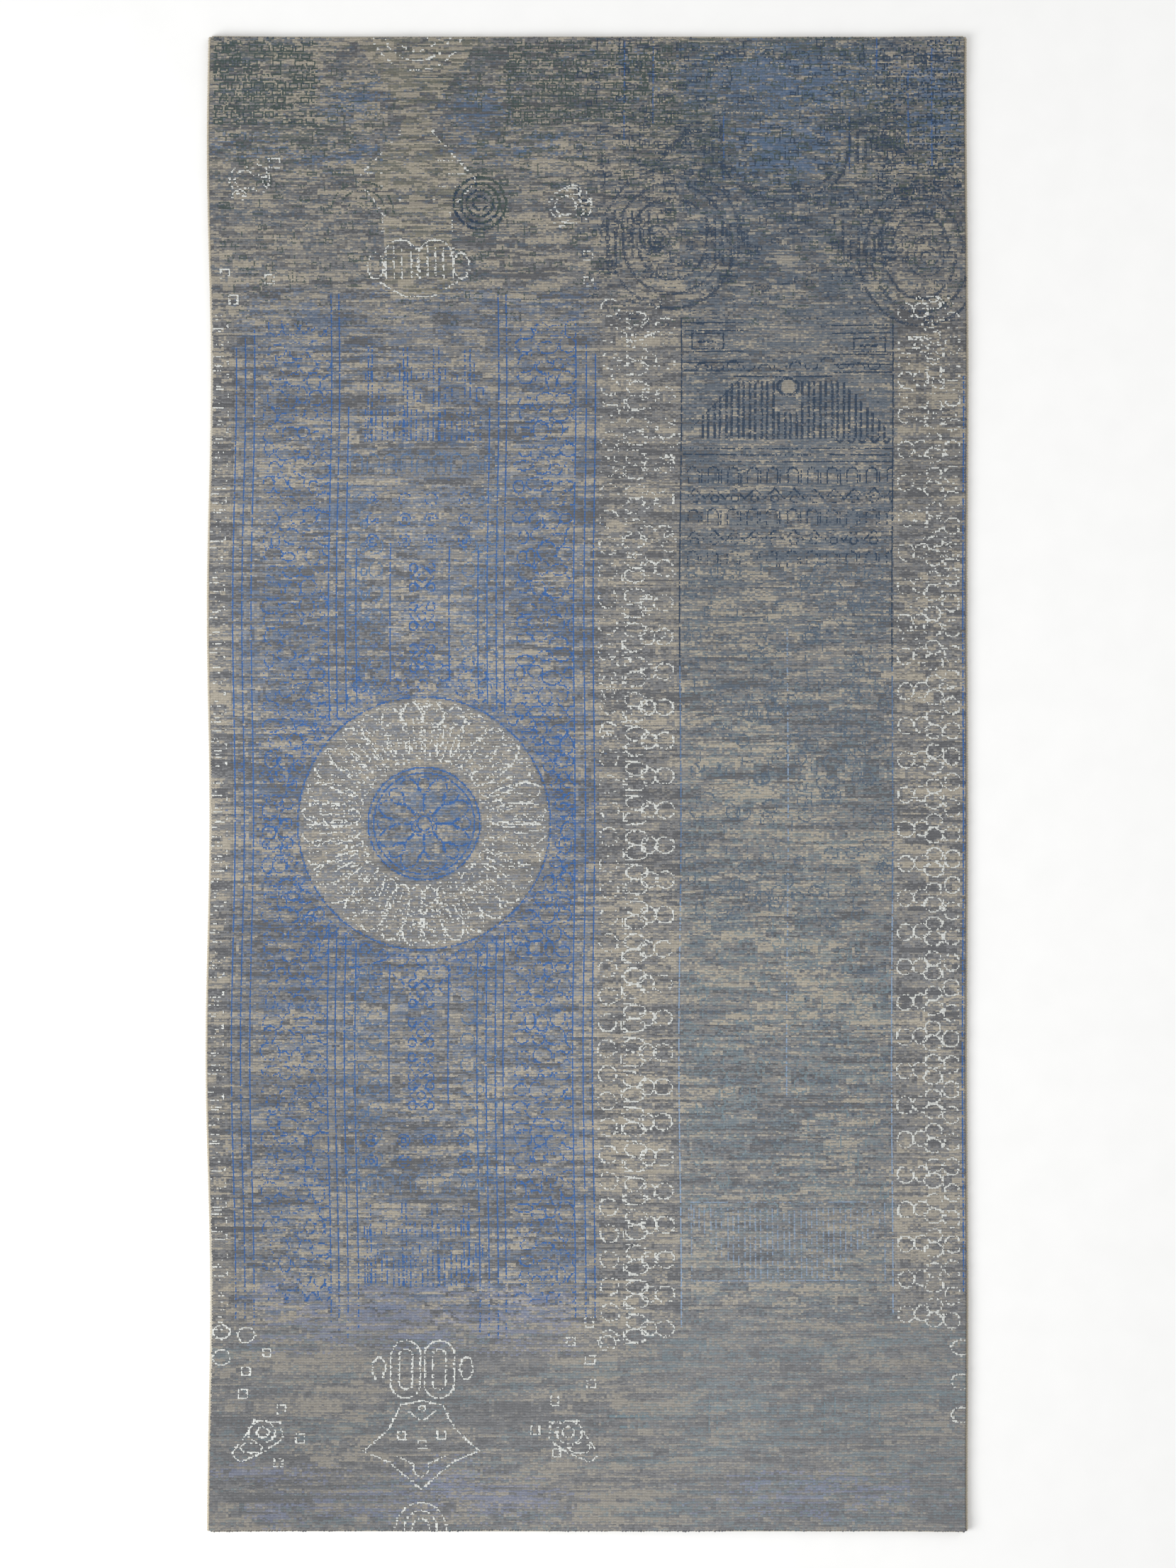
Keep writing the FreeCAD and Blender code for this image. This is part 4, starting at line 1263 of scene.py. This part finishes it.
def overcast_cord(side):
    """Yarn wound round a side cord: the radius swells and sinks once a turn, by the size of a sine from
    groove to groove, and the grooves climb by one turn's pitch round the cord."""
    s = rug()
    low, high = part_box("side_cord_wrap_" + side)
    middle = (np.array(low) + high) / 2
    outer = (high[2] - low[2]) / 2
    around, per_turn = 7, 3
    turns = int((high[1] - low[1]) / s.wrap_pitch) + 2
    chance = np.random.default_rng(31 if side == "left" else 37)
    m, k = np.meshgrid(np.arange(turns * per_turn), np.arange(around), indexing="ij")
    pitch = (high[1] - low[1]) / (turns - 2)
    y = low[1] + pitch * (m / per_turn + k / around - 1.5)
    phase = (m % per_turn) / per_turn
    bulk = np.repeat(0.06 * chance.standard_normal(turns), per_turn)[:, None]
    radius = outer * (1 + np.clip(bulk, -0.1, 0.0)) - s.wrap_groove * (phase == 0)
    inset = np.clip(np.minimum(y - low[1], high[1] - y) / (0.8 * MM), 0, 1)
    radius = radius * np.sqrt(inset) + 0.02 * MM
    y = np.clip(y, low[1], high[1])
    turn = WHOLE_TURN * k / around
    points = np.stack([middle[0] + radius * np.cos(turn), y, middle[2] + radius * np.sin(turn)], axis=-1)
    faces = tube_faces(around, turns * per_turn, per_turn)[:, ::-1]
    piece = mesh_object("side_cord_overcast_" + side, points.reshape(-1, 3), [faces])
    close_ends(piece)
    return piece


def close_ends(piece):
    """Merges a piece's doubled points, drops faces without area, and fills what is open."""
    shape = bmesh.new()
    shape.from_mesh(piece.data)
    bmesh.ops.remove_doubles(shape, verts=shape.verts, dist=0.05 * MM)
    bmesh.ops.dissolve_degenerate(shape, dist=0.001 * MM, edges=shape.edges)
    loose = [vertex for vertex in shape.verts if not vertex.link_faces]
    bmesh.ops.delete(shape, geom=loose, context="VERTS")
    bmesh.ops.holes_fill(shape, edges=shape.edges, sides=0)
    bmesh.ops.recalc_face_normals(shape, faces=shape.faces)
    shape.to_mesh(piece.data)
    shape.free()


def cord_core(side):
    """Three plies twisted together: the radius rises and sinks three times round the cord, and the plies turn
    once in each lay of the cord."""
    low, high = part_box("side_cord_core_" + side)
    middle = (np.array(low) + high) / 2
    radius = (high[2] - low[2]) / 2
    y = np.linspace(low[1], high[1], 240)
    middles = np.stack([np.full(len(y), middle[0]), y, np.full(len(y), middle[2])], axis=1)
    around, lay = 9, 20 * MM
    turn = WHOLE_TURN * np.arange(around) / around
    radii = radius * (0.86 + 0.10 * np.cos(3 * turn))
    points, faces = closed_tube(middles, radii, around, WHOLE_TURN * y / lay)
    return mesh_object("plied_core_" + side, points, faces)


def end_cord(end):
    """Two strands twined across an end of the pile: each strand's middle goes round the cord's line once a
    pitch."""
    s = rug()
    low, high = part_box("end_twining_" + end)
    middle = (np.array(low) + high) / 2
    reach = (high[2] - low[2]) / 2
    turns = (high[0] - low[0]) / s.twine_pitch
    per_turn, around = 6, 5
    x = np.linspace(low[0], high[0], int(turns * per_turn))
    parts = []
    for strand in (0, math.pi):
        turn = WHOLE_TURN * x / s.twine_pitch + strand
        y, z = middle[1] + 0.42 * reach * np.cos(turn), middle[2] + 0.42 * reach * np.sin(turn)
        parts.append(closed_tube(np.stack([x, y, z], axis=1), 0.55 * reach, around))
    points, faces = several(parts)
    return mesh_object("end_cord_" + end, points, faces)


def stitches(end):
    """Slanted whip stitches that tie the turned-under end to the back: each is a thread that bows down
    between the hem's edge and the back."""
    s = rug()
    low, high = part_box("hem_stitches_" + end)
    sign = 1 if end == "head" else -1
    chance = np.random.default_rng(41 if end == "head" else 43)
    outer, inner = (high[1], low[1]) if end == "head" else (low[1], high[1])
    t = np.linspace(0, 1, 6)
    parts = []
    for x in np.linspace(low[0] + HEM_MARGIN, high[0] - HEM_MARGIN, STITCHES):
        slant = (2.3 + 0.8 * chance.random()) * MM
        start = x + (chance.random() - 0.5) * 1.2 * MM
        y = outer + sign * 0.5 * MM + (inner - outer - sign * 0.5 * MM) * t
        z = (low[2] + high[2]) / 2 + 0.05 * MM + 0.5 * MM * (2 * t - 1) ** 2 * (t > 0.5)
        z -= 0.12 * MM * np.sin(math.pi * t)
        path = np.stack([start + slant * (t - 0.5), y, z], axis=1)
        thick = s.stitch_thread / 2 * np.sqrt(np.sin(math.pi * (0.08 + 0.84 * t)))
        parts.append(closed_tube(path, thick[:, None], 5))
    points, faces = several(parts)
    return mesh_object("whip_stitches_" + end, points, faces)


def foundation():
    """The cotton web: one sheet that runs the rug's whole length inside the pile, turns down at each end and
    lies folded back under it.

    Its profile is the path of its middle, half a thickness to each side, and it is the same all across the
    rug."""
    low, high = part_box("kilim_end_head")
    warp_low, warp_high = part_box("warp_threads")
    half_x = high[0]
    thick = warp_high[2] - warp_low[2]
    upper = (warp_low[2] + warp_high[2]) / 2
    under = low[2] + thick / 2
    radius = (upper - under) / 2
    far = high[1] - radius - thick / 2
    flap = np.linspace(low[1], far, 4)[:-1]
    bend = np.linspace(-math.pi / 2, math.pi / 2, 6)
    # the flap, the fold, and two points where the web has come level inside the pile
    ys = np.concatenate([flap, far + radius * np.cos(bend), [far - 3 * MM, far - 12 * MM]])
    zs = np.concatenate([np.full(len(flap), under), under + radius + radius * np.sin(bend), [upper, upper]])
    ys, zs = (np.concatenate([a, b[::-1]]) for a, b in ((ys, -ys), (zs, zs)))
    path = np.stack([ys, zs], axis=1)
    run = np.gradient(path, axis=0)
    run /= np.linalg.norm(run, axis=1, keepdims=True)
    normal = np.stack([run[:, 1], -run[:, 0]], axis=1)
    x = np.linspace(-half_x, half_x, WEB_COLUMNS + 1)
    half = np.full((len(path), 1), thick / 2)
    # the raw edges of both flaps are pressed thinner
    half[[0, -1]] *= 0.45
    ring = np.concatenate([path + half * normal, (path - half * normal)[::-1]])
    around = len(ring)
    points = np.stack(np.broadcast_arrays(x[:, None], ring[:, 0], ring[:, 1]), axis=-1)
    steps = np.arange(len(path) - 1)
    cap = np.stack([steps, steps + 1, around - 2 - steps, around - 1 - steps], axis=1)
    last = WEB_COLUMNS * around
    faces = [tube_faces(around, WEB_COLUMNS + 1)[:, ::-1], cap, last + cap[:, ::-1]]
    piece = mesh_object("woven_foundation", points.reshape(-1, 3), [np.concatenate(faces)])
    length = float(np.linalg.norm(np.diff(path, axis=0), axis=1).sum())
    return piece, (2 * half_x, length)


def side_tufts():
    """Tufts that lean out over the cords all round the pile: each is a four-sided stem that widens upward and
    ends in a blunt tip, and takes its knot's colour."""
    s = rug()
    c = chart()
    rows, columns = c.knots
    top, back = tuft_points()
    chance = np.random.default_rng(53)
    ends = []
    for i, j, out in (
        (np.arange(rows), np.zeros(rows, int), (-1, 0)),
        (np.arange(rows), np.full(rows, columns - 1), (1, 0)),
        (np.zeros(columns, int), np.arange(columns), (0, -1)),
        (np.full(columns, rows - 1), np.arange(columns), (0, 1)),
    ):
        ends.append(np.stack([i, j, np.full(len(i), out[0]), np.full(len(i), out[1])], axis=1))
    ends = np.concatenate(ends)
    count = len(ends)
    i, j, out = ends[:, 0], ends[:, 1], ends[:, 2:].astype(float)
    middle = top[2 * i + 1, 2 * j + 1]
    edge = middle[:, :2] + out * s.pitch * 0.5 + (chance.random((count, 2)) - 0.5) * 0.5 * MM
    # each level of a stem: how high up it is, how wide, and how far it leans out
    levels = np.array([0.0, 0.8, 1.0])
    widths = np.array([0.6, 1.0, 0.5]) * s.pitch * 0.5
    lean = np.array([-0.8, -0.1, -0.2]) * MM
    foot = back[i, j, 2] + 1.6 * MM
    tip = middle[:, 2] - 0.25 * MM - 0.5 * MM * chance.random(count)
    sway = (chance.random(count) - 0.4)[:, None] * 0.6 * MM
    around = 5
    turn = WHOLE_TURN * np.arange(around) / around
    circle = np.stack([np.cos(turn), np.sin(turn)], axis=1)
    z = foot[:, None] + (tip - foot)[:, None] * levels
    reach = lean + sway * levels
    centre = edge[:, None] + out[:, None] * reach[..., None]
    bulk = 0.85 + 0.3 * chance.random((count, 1, 1, 1))
    flat = centre[:, :, None] + widths[None, :, None, None] * bulk * circle
    points = np.concatenate([flat, np.broadcast_to(z[..., None, None], (*flat.shape[:3], 1))], axis=-1)
    own = tube_faces(around, len(levels))
    starts = np.arange(count)[:, None, None] * around * len(levels)
    quads = (own[None] + starts).reshape(-1, 4)
    ring = np.arange(around)
    caps = np.stack([ring[::-1], (len(levels) - 1) * around + ring])
    caps = (caps[None] + starts).reshape(-1, around)
    piece = mesh_object("pile_side_tufts", points.reshape(-1, 3), [quads, caps])
    colours = c.back[i, j]
    per_face = np.concatenate([np.repeat(colours, len(own), axis=0), np.repeat(colours, 2, axis=0)])
    put(piece, "yarn", "FLOAT_COLOR", "FACE", np.concatenate([per_face, np.ones((len(per_face), 1))], axis=1))
    return piece


# ---------------------------------------------------------------- finishes

WAVE_TURN = 20  # how far the Wave Texture's own sine turns, in radians, for one unit of scaled length


def new_material(name):
    """An empty material and its node tree."""
    material = bpy.data.materials.new(name)
    material.use_nodes = True
    tree = material.node_tree
    tree.nodes.clear()
    return material, tree


def add(tree, kind, inputs=(), output=0, **settings):
    """Adds a node with its settings, fills its inputs with values or other nodes' outputs, and gives one
    output."""
    node = tree.nodes.new("ShaderNode" + kind)
    for key, value in settings.items():
        setattr(node, key, value)
    for key, value in dict(inputs).items():
        if isinstance(value, bpy.types.NodeSocket):
            tree.links.new(value, node.inputs[key])
        else:
            node.inputs[key].default_value = value
    return node.outputs[output] if len(node.outputs) else node


def surface(tree, colour, roughness, bump=None, **plain):
    """The shader and the material's output."""
    inputs = {"Base Color": colour, "Roughness": roughness}
    inputs.update({key.replace("_", " "): value for key, value in plain.items()})
    if bump is not None:
        inputs["Normal"] = bump
    shader = add(tree, "BsdfPrincipled", inputs)
    add(tree, "OutputMaterial", {"Surface": shader})


def between(tree, value, low, high, to_low=0.0, to_high=1.0):
    """A value mapped from one range to another, and held inside it."""
    ends = {"From Min": low, "From Max": high, "To Min": to_low, "To Max": to_high}
    return add(tree, "MapRange", {"Value": value, **ends})


def mottle(tree, noise, low, high):
    """Noise mapped to a range. Its values lie mostly between 0.3 and 0.7."""
    return between(tree, noise, 0.3, 0.7, low, high)


def fibre(tree, millimetres, stretch=(1, 1, 1), detail=2.0):
    """Noise whose grain is that many millimetres wide, drawn out along an axis."""
    place = add(tree, "TexCoord", output="Object")
    place = add(tree, "Mapping", {"Vector": place, "Scale": stretch})
    return add(tree, "TexNoise", {"Vector": place, "Scale": 1000 / millimetres, "Detail": detail})


def shaded(tree, colour, shade, second=None):
    """A colour multiplied by a grey, or by two."""
    if second is not None:
        shade = add(tree, "Math", {0: shade, 1: second}, operation="MULTIPLY")
    inputs = {"Factor": 1.0, "A": colour, "B": shade}
    return add(tree, "Mix", inputs, output=2, data_type="RGBA", blend_type="MULTIPLY")


def painted_gap_shade(tree):
    """1 in the gaps between tufts and 0 on them, from the map that counts knots, for the painted shade down
    between the tufts.
    """
    place = add(tree, "UVMap", uv_map="knots")
    across = add(tree, "SeparateXYZ", {0: place}, "X")
    along = add(tree, "SeparateXYZ", {0: place}, "Y")
    wobble = mottle(tree, fibre(tree, 5.0), -0.16, 0.16)
    along = add(tree, "Math", {0: along, 1: wobble}, operation="ADD")
    row = add(tree, "Math", {0: along, 1: 0.5}, operation="PINGPONG")
    column = add(tree, "Math", {0: across, 1: 0.5}, operation="PINGPONG")
    row = between(tree, row, 0.24, 0.02)
    column = between(tree, column, 0.12, 0.0, 0.0, 0.55)
    return add(tree, "Math", {0: row, 1: column}, operation="MAXIMUM")


@functools.cache
def wool_pile():
    """Cut sheep's wool, hand spun: matt, with a soft sheen at grazing angles, painted shade down between the
    tufts, and flecked where the ends of single fibres catch the light."""
    material, tree = new_material("wool_cut_pile")
    colour = add(tree, "Attribute", attribute_name="yarn")
    gap = painted_gap_shade(tree)
    flecks = fibre(tree, 0.7, detail=3.0)
    # painted shade: the colour darkens to 0.74 of itself in the gaps between tufts
    colour = shaded(tree, colour, between(tree, gap, 0, 1, 1.0, 0.74), mottle(tree, flecks, 0.86, 1.14))
    bump = add(tree, "Bump", {"Strength": 0.7, "Distance": 0.35 * MM, "Height": flecks})
    sheen = {"Sheen_Weight": 0.12, "Sheen_Roughness": 0.45}
    surface(tree, colour, 0.92, bump, IOR=1.55, Specular_IOR_Level=0.25, **sheen)
    return material


@functools.cache
def silk_pile():
    """Cut mulberry silk: brighter than wool, with a broad gloss, fine straight filaments and painted shade
    down between the tufts.
    """
    material, tree = new_material("silk_cut_pile")
    colour = add(tree, "Attribute", attribute_name="yarn")
    gap = painted_gap_shade(tree)
    flecks = fibre(tree, 0.5, (1, 0.4, 1))
    # painted shade: the colour darkens to 0.7 of itself in the gaps between tufts
    colour = shaded(tree, colour, between(tree, gap, 0, 1, 1.0, 0.7), mottle(tree, flecks, 0.92, 1.08))
    bump = add(tree, "Bump", {"Strength": 0.4, "Distance": 0.2 * MM, "Height": flecks})
    surface(tree, colour, 0.42, bump, IOR=1.54, Sheen_Weight=0.2, Sheen_Roughness=0.3)
    return material


@functools.cache
def knot_loops():
    """The knots seen from the back: each is two small round loops of its yarn side by side, packed row on
    row, with painted shade where the loops curve down beside each other and over the weft under each row."""
    material, tree = new_material("knot_loops_at_back")
    colour = add(tree, "Attribute", attribute_name="yarn")
    place = add(tree, "UVMap", uv_map="knots")
    across = add(tree, "SeparateXYZ", {0: place}, "X")
    along = add(tree, "SeparateXYZ", {0: place}, "Y")
    loop = add(tree, "Math", {0: across, 1: 0.25}, operation="PINGPONG")
    row = add(tree, "Math", {0: along, 1: 0.5}, operation="PINGPONG")
    loop, row = between(tree, loop, 0, 0.25), between(tree, row, 0, 0.28)
    bulge = add(tree, "Math", {0: loop, 1: row}, operation="MULTIPLY")
    height = add(tree, "Math", {0: bulge, 1: 0.5}, operation="POWER")
    flecks = mottle(tree, fibre(tree, 0.6), 0.9, 1.1)
    # painted shade: the colour darkens to half where the loops curve down
    colour = shaded(tree, colour, between(tree, height, 0, 0.8, 0.5, 1.0), flecks)
    bump = add(tree, "Bump", {"Strength": 1.0, "Distance": 0.5 * MM, "Height": height})
    surface(tree, colour, 0.9, bump, IOR=1.55, Specular_IOR_Level=0.25)
    return material


def spun(name, yarn_name, grain, stretch, contrast, roughness, depth, sheen=0.1):
    """A spun yarn or a web of it, in one colour with streaks as wide as the grain in millimetres."""
    material, tree = new_material(name)
    streaks = fibre(tree, grain, stretch, 3.0)
    worn = fibre(tree, 90.0, detail=1.0)
    strands, patches = mottle(tree, streaks, 1 - contrast, 1 + contrast), mottle(tree, worn, 0.93, 1.05)
    colour = shaded(tree, (*yarn(yarn_name), 1.0), strands, patches)
    bump = add(tree, "Bump", {"Strength": 0.8, "Distance": depth * MM, "Height": streaks})
    gloss = {"IOR": 1.53, "Specular_IOR_Level": 0.3}
    surface(tree, colour, roughness, bump, **gloss, Sheen_Weight=sheen, Sheen_Roughness=0.4)
    return material


@functools.cache
def overcast_wool():
    """Two-ply wool wound round the side cords: matt, with strands that run round the cord."""
    return spun("wool_overcast_yarn", "overcast", 0.6, (0.4, 2.0, 0.4), 0.14, 0.9, 0.25)


@functools.cache
def cotton_cord():
    """Plied cotton cord: pale and matt, with strands that run along it."""
    return spun("cotton_cord", "cotton", 0.5, (0.5, 1.0, 1.0), 0.10, 0.88, 0.15)


@functools.cache
def linen_thread():
    """Waxed linen sewing thread: tan, smoother than wool, with a faint gloss."""
    return spun("waxed_linen_thread", "linen", 0.4, (1, 0.5, 1), 0.10, 0.6, 0.1, 0.0)


def ridges(tree, direction, millimetres):
    """Slightly uneven ridges across a direction, that many millimetres apart."""
    place = add(tree, "TexCoord", output="Object")
    scale = WHOLE_TURN / (WAVE_TURN * millimetres * MM)
    wobble = {"Vector": place, "Scale": scale, "Distortion": 0.6, "Detail": 1.0, "Detail Scale": 40.0}
    return add(tree, "TexWave", wobble, output=1, bands_direction=direction)


@functools.cache
def cotton_web():
    """Flat-woven cotton: pale, with a fine ridge for each weft and a fainter rib over each warp, and painted
    shade in the grooves between them.
    """
    material, tree = new_material("cotton_flat_weave")
    weft = ridges(tree, "Y", 1.05)
    warp = ridges(tree, "X", 1.375)
    streaks = fibre(tree, 0.6, (0.5, 2.0, 1.0), 3.0)
    web = add(tree, "Math", {0: warp, 1: 0.5, 2: weft}, operation="MULTIPLY_ADD")
    height = add(tree, "Math", {0: web, 1: streaks}, operation="ADD")
    # painted shade and light: the colour darkens in the grooves and lightens a little on the ridges
    shade = between(tree, height, 0.3, 2.2, 0.76, 1.08)
    bump = add(tree, "Bump", {"Strength": 0.9, "Distance": 0.25 * MM, "Height": height})
    colour = shaded(tree, (*yarn("cotton"), 1.0), shade)
    surface(tree, colour, 0.9, bump, IOR=1.53, Specular_IOR_Level=0.3)
    return material


@functools.cache
def studio_floor():
    """Painted board: plain, pale and matt, with a very fine mottle."""
    material, tree = new_material("painted_floor")
    colour = shaded(tree, rgba("f6f6f5"), mottle(tree, fibre(tree, 40.0), 0.99, 1.01))
    surface(tree, colour, 0.8, Specular_IOR_Level=0.2)
    return material


# ---------------------------------------------------------------- operators


class RUG_OT_wool_pile(bpy.types.Operator):
    """Makes the wool pile, one piece for each field of the design"""

    bl_idname = "rug.wool_pile"
    bl_label = "Wool Pile"

    def execute(self, context):
        c = chart()
        for field in FIELDS:
            piece = wool_shell("wool_" + field, c.field("pile_" + field))
            nodes = ["pile_" + field] + (["knot_collars"] if field == "panel_middle" else [])
            finish_piece(piece, slot_of("pile_" + field), (wool_pile(), knot_loops()), *nodes)
        finish_piece(side_tufts(), slot_of("pile_ring_stripe"), (wool_pile(),))
        return {"FINISHED"}


class RUG_OT_silk_pile(bpy.types.Operator):
    """Makes the silk pile, one piece for each group of outlines"""

    bl_idname = "rug.silk_pile"
    bl_label = "Silk Pile"

    def execute(self, context):
        c = chart()
        for name, mask in c.silk_groups().items():
            nodes = [name] if name in frame["nodes"] else []
            finish_piece(silk_shell("tufts_" + name, mask), "silk_pile", (silk_pile(),), *nodes)
        return {"FINISHED"}


class RUG_OT_cords(bpy.types.Operator):
    """Makes the side cords with their overcast yarn, and the twined cords across the ends"""

    bl_idname = "rug.cords"
    bl_label = "Side and End Cords"

    def execute(self, context):
        for side in ("left", "right"):
            finish_piece(overcast_cord(side), "side_cord_wool", (overcast_wool(),), "side_cord_wrap_" + side)
            finish_piece(cord_core(side), "cotton_cord", (cotton_cord(),), "side_cord_core_" + side)
        for end in ("head", "foot"):
            finish_piece(end_cord(end), "cotton_cord", (cotton_cord(),), "end_twining_" + end)
        return {"FINISHED"}


class RUG_OT_stitches(bpy.types.Operator):
    """Makes the stitches that hold the turned-under ends"""

    bl_idname = "rug.stitches"
    bl_label = "Hem Stitches"

    def execute(self, context):
        for end in ("head", "foot"):
            finish_piece(stitches(end), "linen_thread", (linen_thread(),), "hem_stitches_" + end)
        return {"FINISHED"}


class RUG_OT_foundation(bpy.types.Operator):
    bl_idname = "rug.foundation"
    bl_label = "Woven Foundation"

    def execute(self, context):
        piece, flat = foundation()
        nodes = "warp_threads", "weft_threads", "kilim_end_head", "kilim_end_foot"
        finish_piece(piece, "cotton_web", (cotton_web(),), *nodes)
        return {"FINISHED"}


CAMERA_HEIGHT = 2.295  # straight over the rug's middle, so high that the rug just fits the picture
CAMERA_LENS = 50  # millimetres
STAGE_LEVEL = -0.2 * MM  # a hair under the rug, so that the floor and the hem don't flicker
STAGE_HALF = 3.0  # half the floor's side


class RUG_OT_stage(bpy.types.Operator):
    """Makes the floor, the lights and the camera"""

    bl_idname = "rug.stage"
    bl_label = "Stage"

    def execute(self, context):
        scene = context.scene
        ends = (-1, -1), (1, -1), (1, 1), (-1, 1)
        corners = [(x * STAGE_HALF, y * STAGE_HALF, STAGE_LEVEL) for x, y in ends]
        floor_mesh = bpy.data.meshes.new("studio_floor")
        floor_mesh.from_pydata(corners, [], [(0, 1, 2, 3)])
        floor_mesh.materials.append(studio_floor())
        floor = bpy.data.objects.new("studio_floor", floor_mesh)
        scene.collection.objects.link(floor)
        light("key_light", (-2.0, -0.9, 1.9), 1.6, 66)
        light("fill_light", (1.8, 1.0, 2.2), 2.0, 18)
        world = bpy.data.worlds.new("studio")
        world.use_nodes = True
        sky = world.node_tree.nodes["Background"].inputs
        sky["Color"].default_value = (1, 1, 1, 1)
        sky["Strength"].default_value = 0.55
        scene.world = world
        scene.view_settings.view_transform = "Standard"
        camera_data = bpy.data.cameras.new("camera")
        camera_data.lens = CAMERA_LENS
        camera_data.clip_start = 0.01
        camera = bpy.data.objects.new("camera", camera_data)
        camera.location = (0, 0, CAMERA_HEIGHT)
        scene.collection.objects.link(camera)
        scene.camera = camera
        return {"FINISHED"}


def light(name, place, size, power):
    """A square soft light that faces the rug's middle."""
    lamp = bpy.data.lights.new(name, "AREA")
    lamp.size = size
    lamp.energy = power
    piece = bpy.data.objects.new(name, lamp)
    piece.location = place
    piece.rotation_euler = (-piece.location).to_track_quat("-Z", "Y").to_euler()
    bpy.context.scene.collection.objects.link(piece)


class RUG_PT_panel(bpy.types.Panel):
    """Lists the rug's pieces, sizes and yarns"""

    bl_idname = "RUG_PT_panel"
    bl_label = "Runner Rug"
    bl_space_type = "VIEW_3D"
    bl_region_type = "UI"
    bl_category = "Rug"

    def draw(self, context):
        column = self.layout.column()
        for operator in OPERATORS:
            column.operator(operator.bl_idname)
        for settings in (context.scene.rug_sizes, context.scene.rug_yarns):
            for name in settings.__annotations__:
                column.prop(settings, name)


OPERATORS = (
    RUG_OT_wool_pile,
    RUG_OT_silk_pile,
    RUG_OT_cords,
    RUG_OT_stitches,
    RUG_OT_foundation,
    RUG_OT_stage,
)
CLASSES = (RugSizes, RugYarns, *OPERATORS, RUG_PT_panel)


def register():
    """Registers the classes and gives the scene its sizes and yarns."""
    for item in CLASSES:
        bpy.utils.register_class(item)
    bpy.types.Scene.rug_sizes = PointerProperty(type=RugSizes)
    bpy.types.Scene.rug_yarns = PointerProperty(type=RugYarns)


def unregister():
    """Undoes register."""
    del bpy.types.Scene.rug_yarns
    del bpy.types.Scene.rug_sizes
    for item in reversed(CLASSES):
        bpy.utils.unregister_class(item)


def main():
    """Makes the whole rug and its stage."""
    register()
    rug_ops = bpy.ops.rug
    for make in (
        rug_ops.wool_pile,
        rug_ops.silk_pile,
        rug_ops.cords,
        rug_ops.stitches,
        rug_ops.foundation,
        rug_ops.stage,
    ):
        make()


if __name__ == "__main__":
    main()
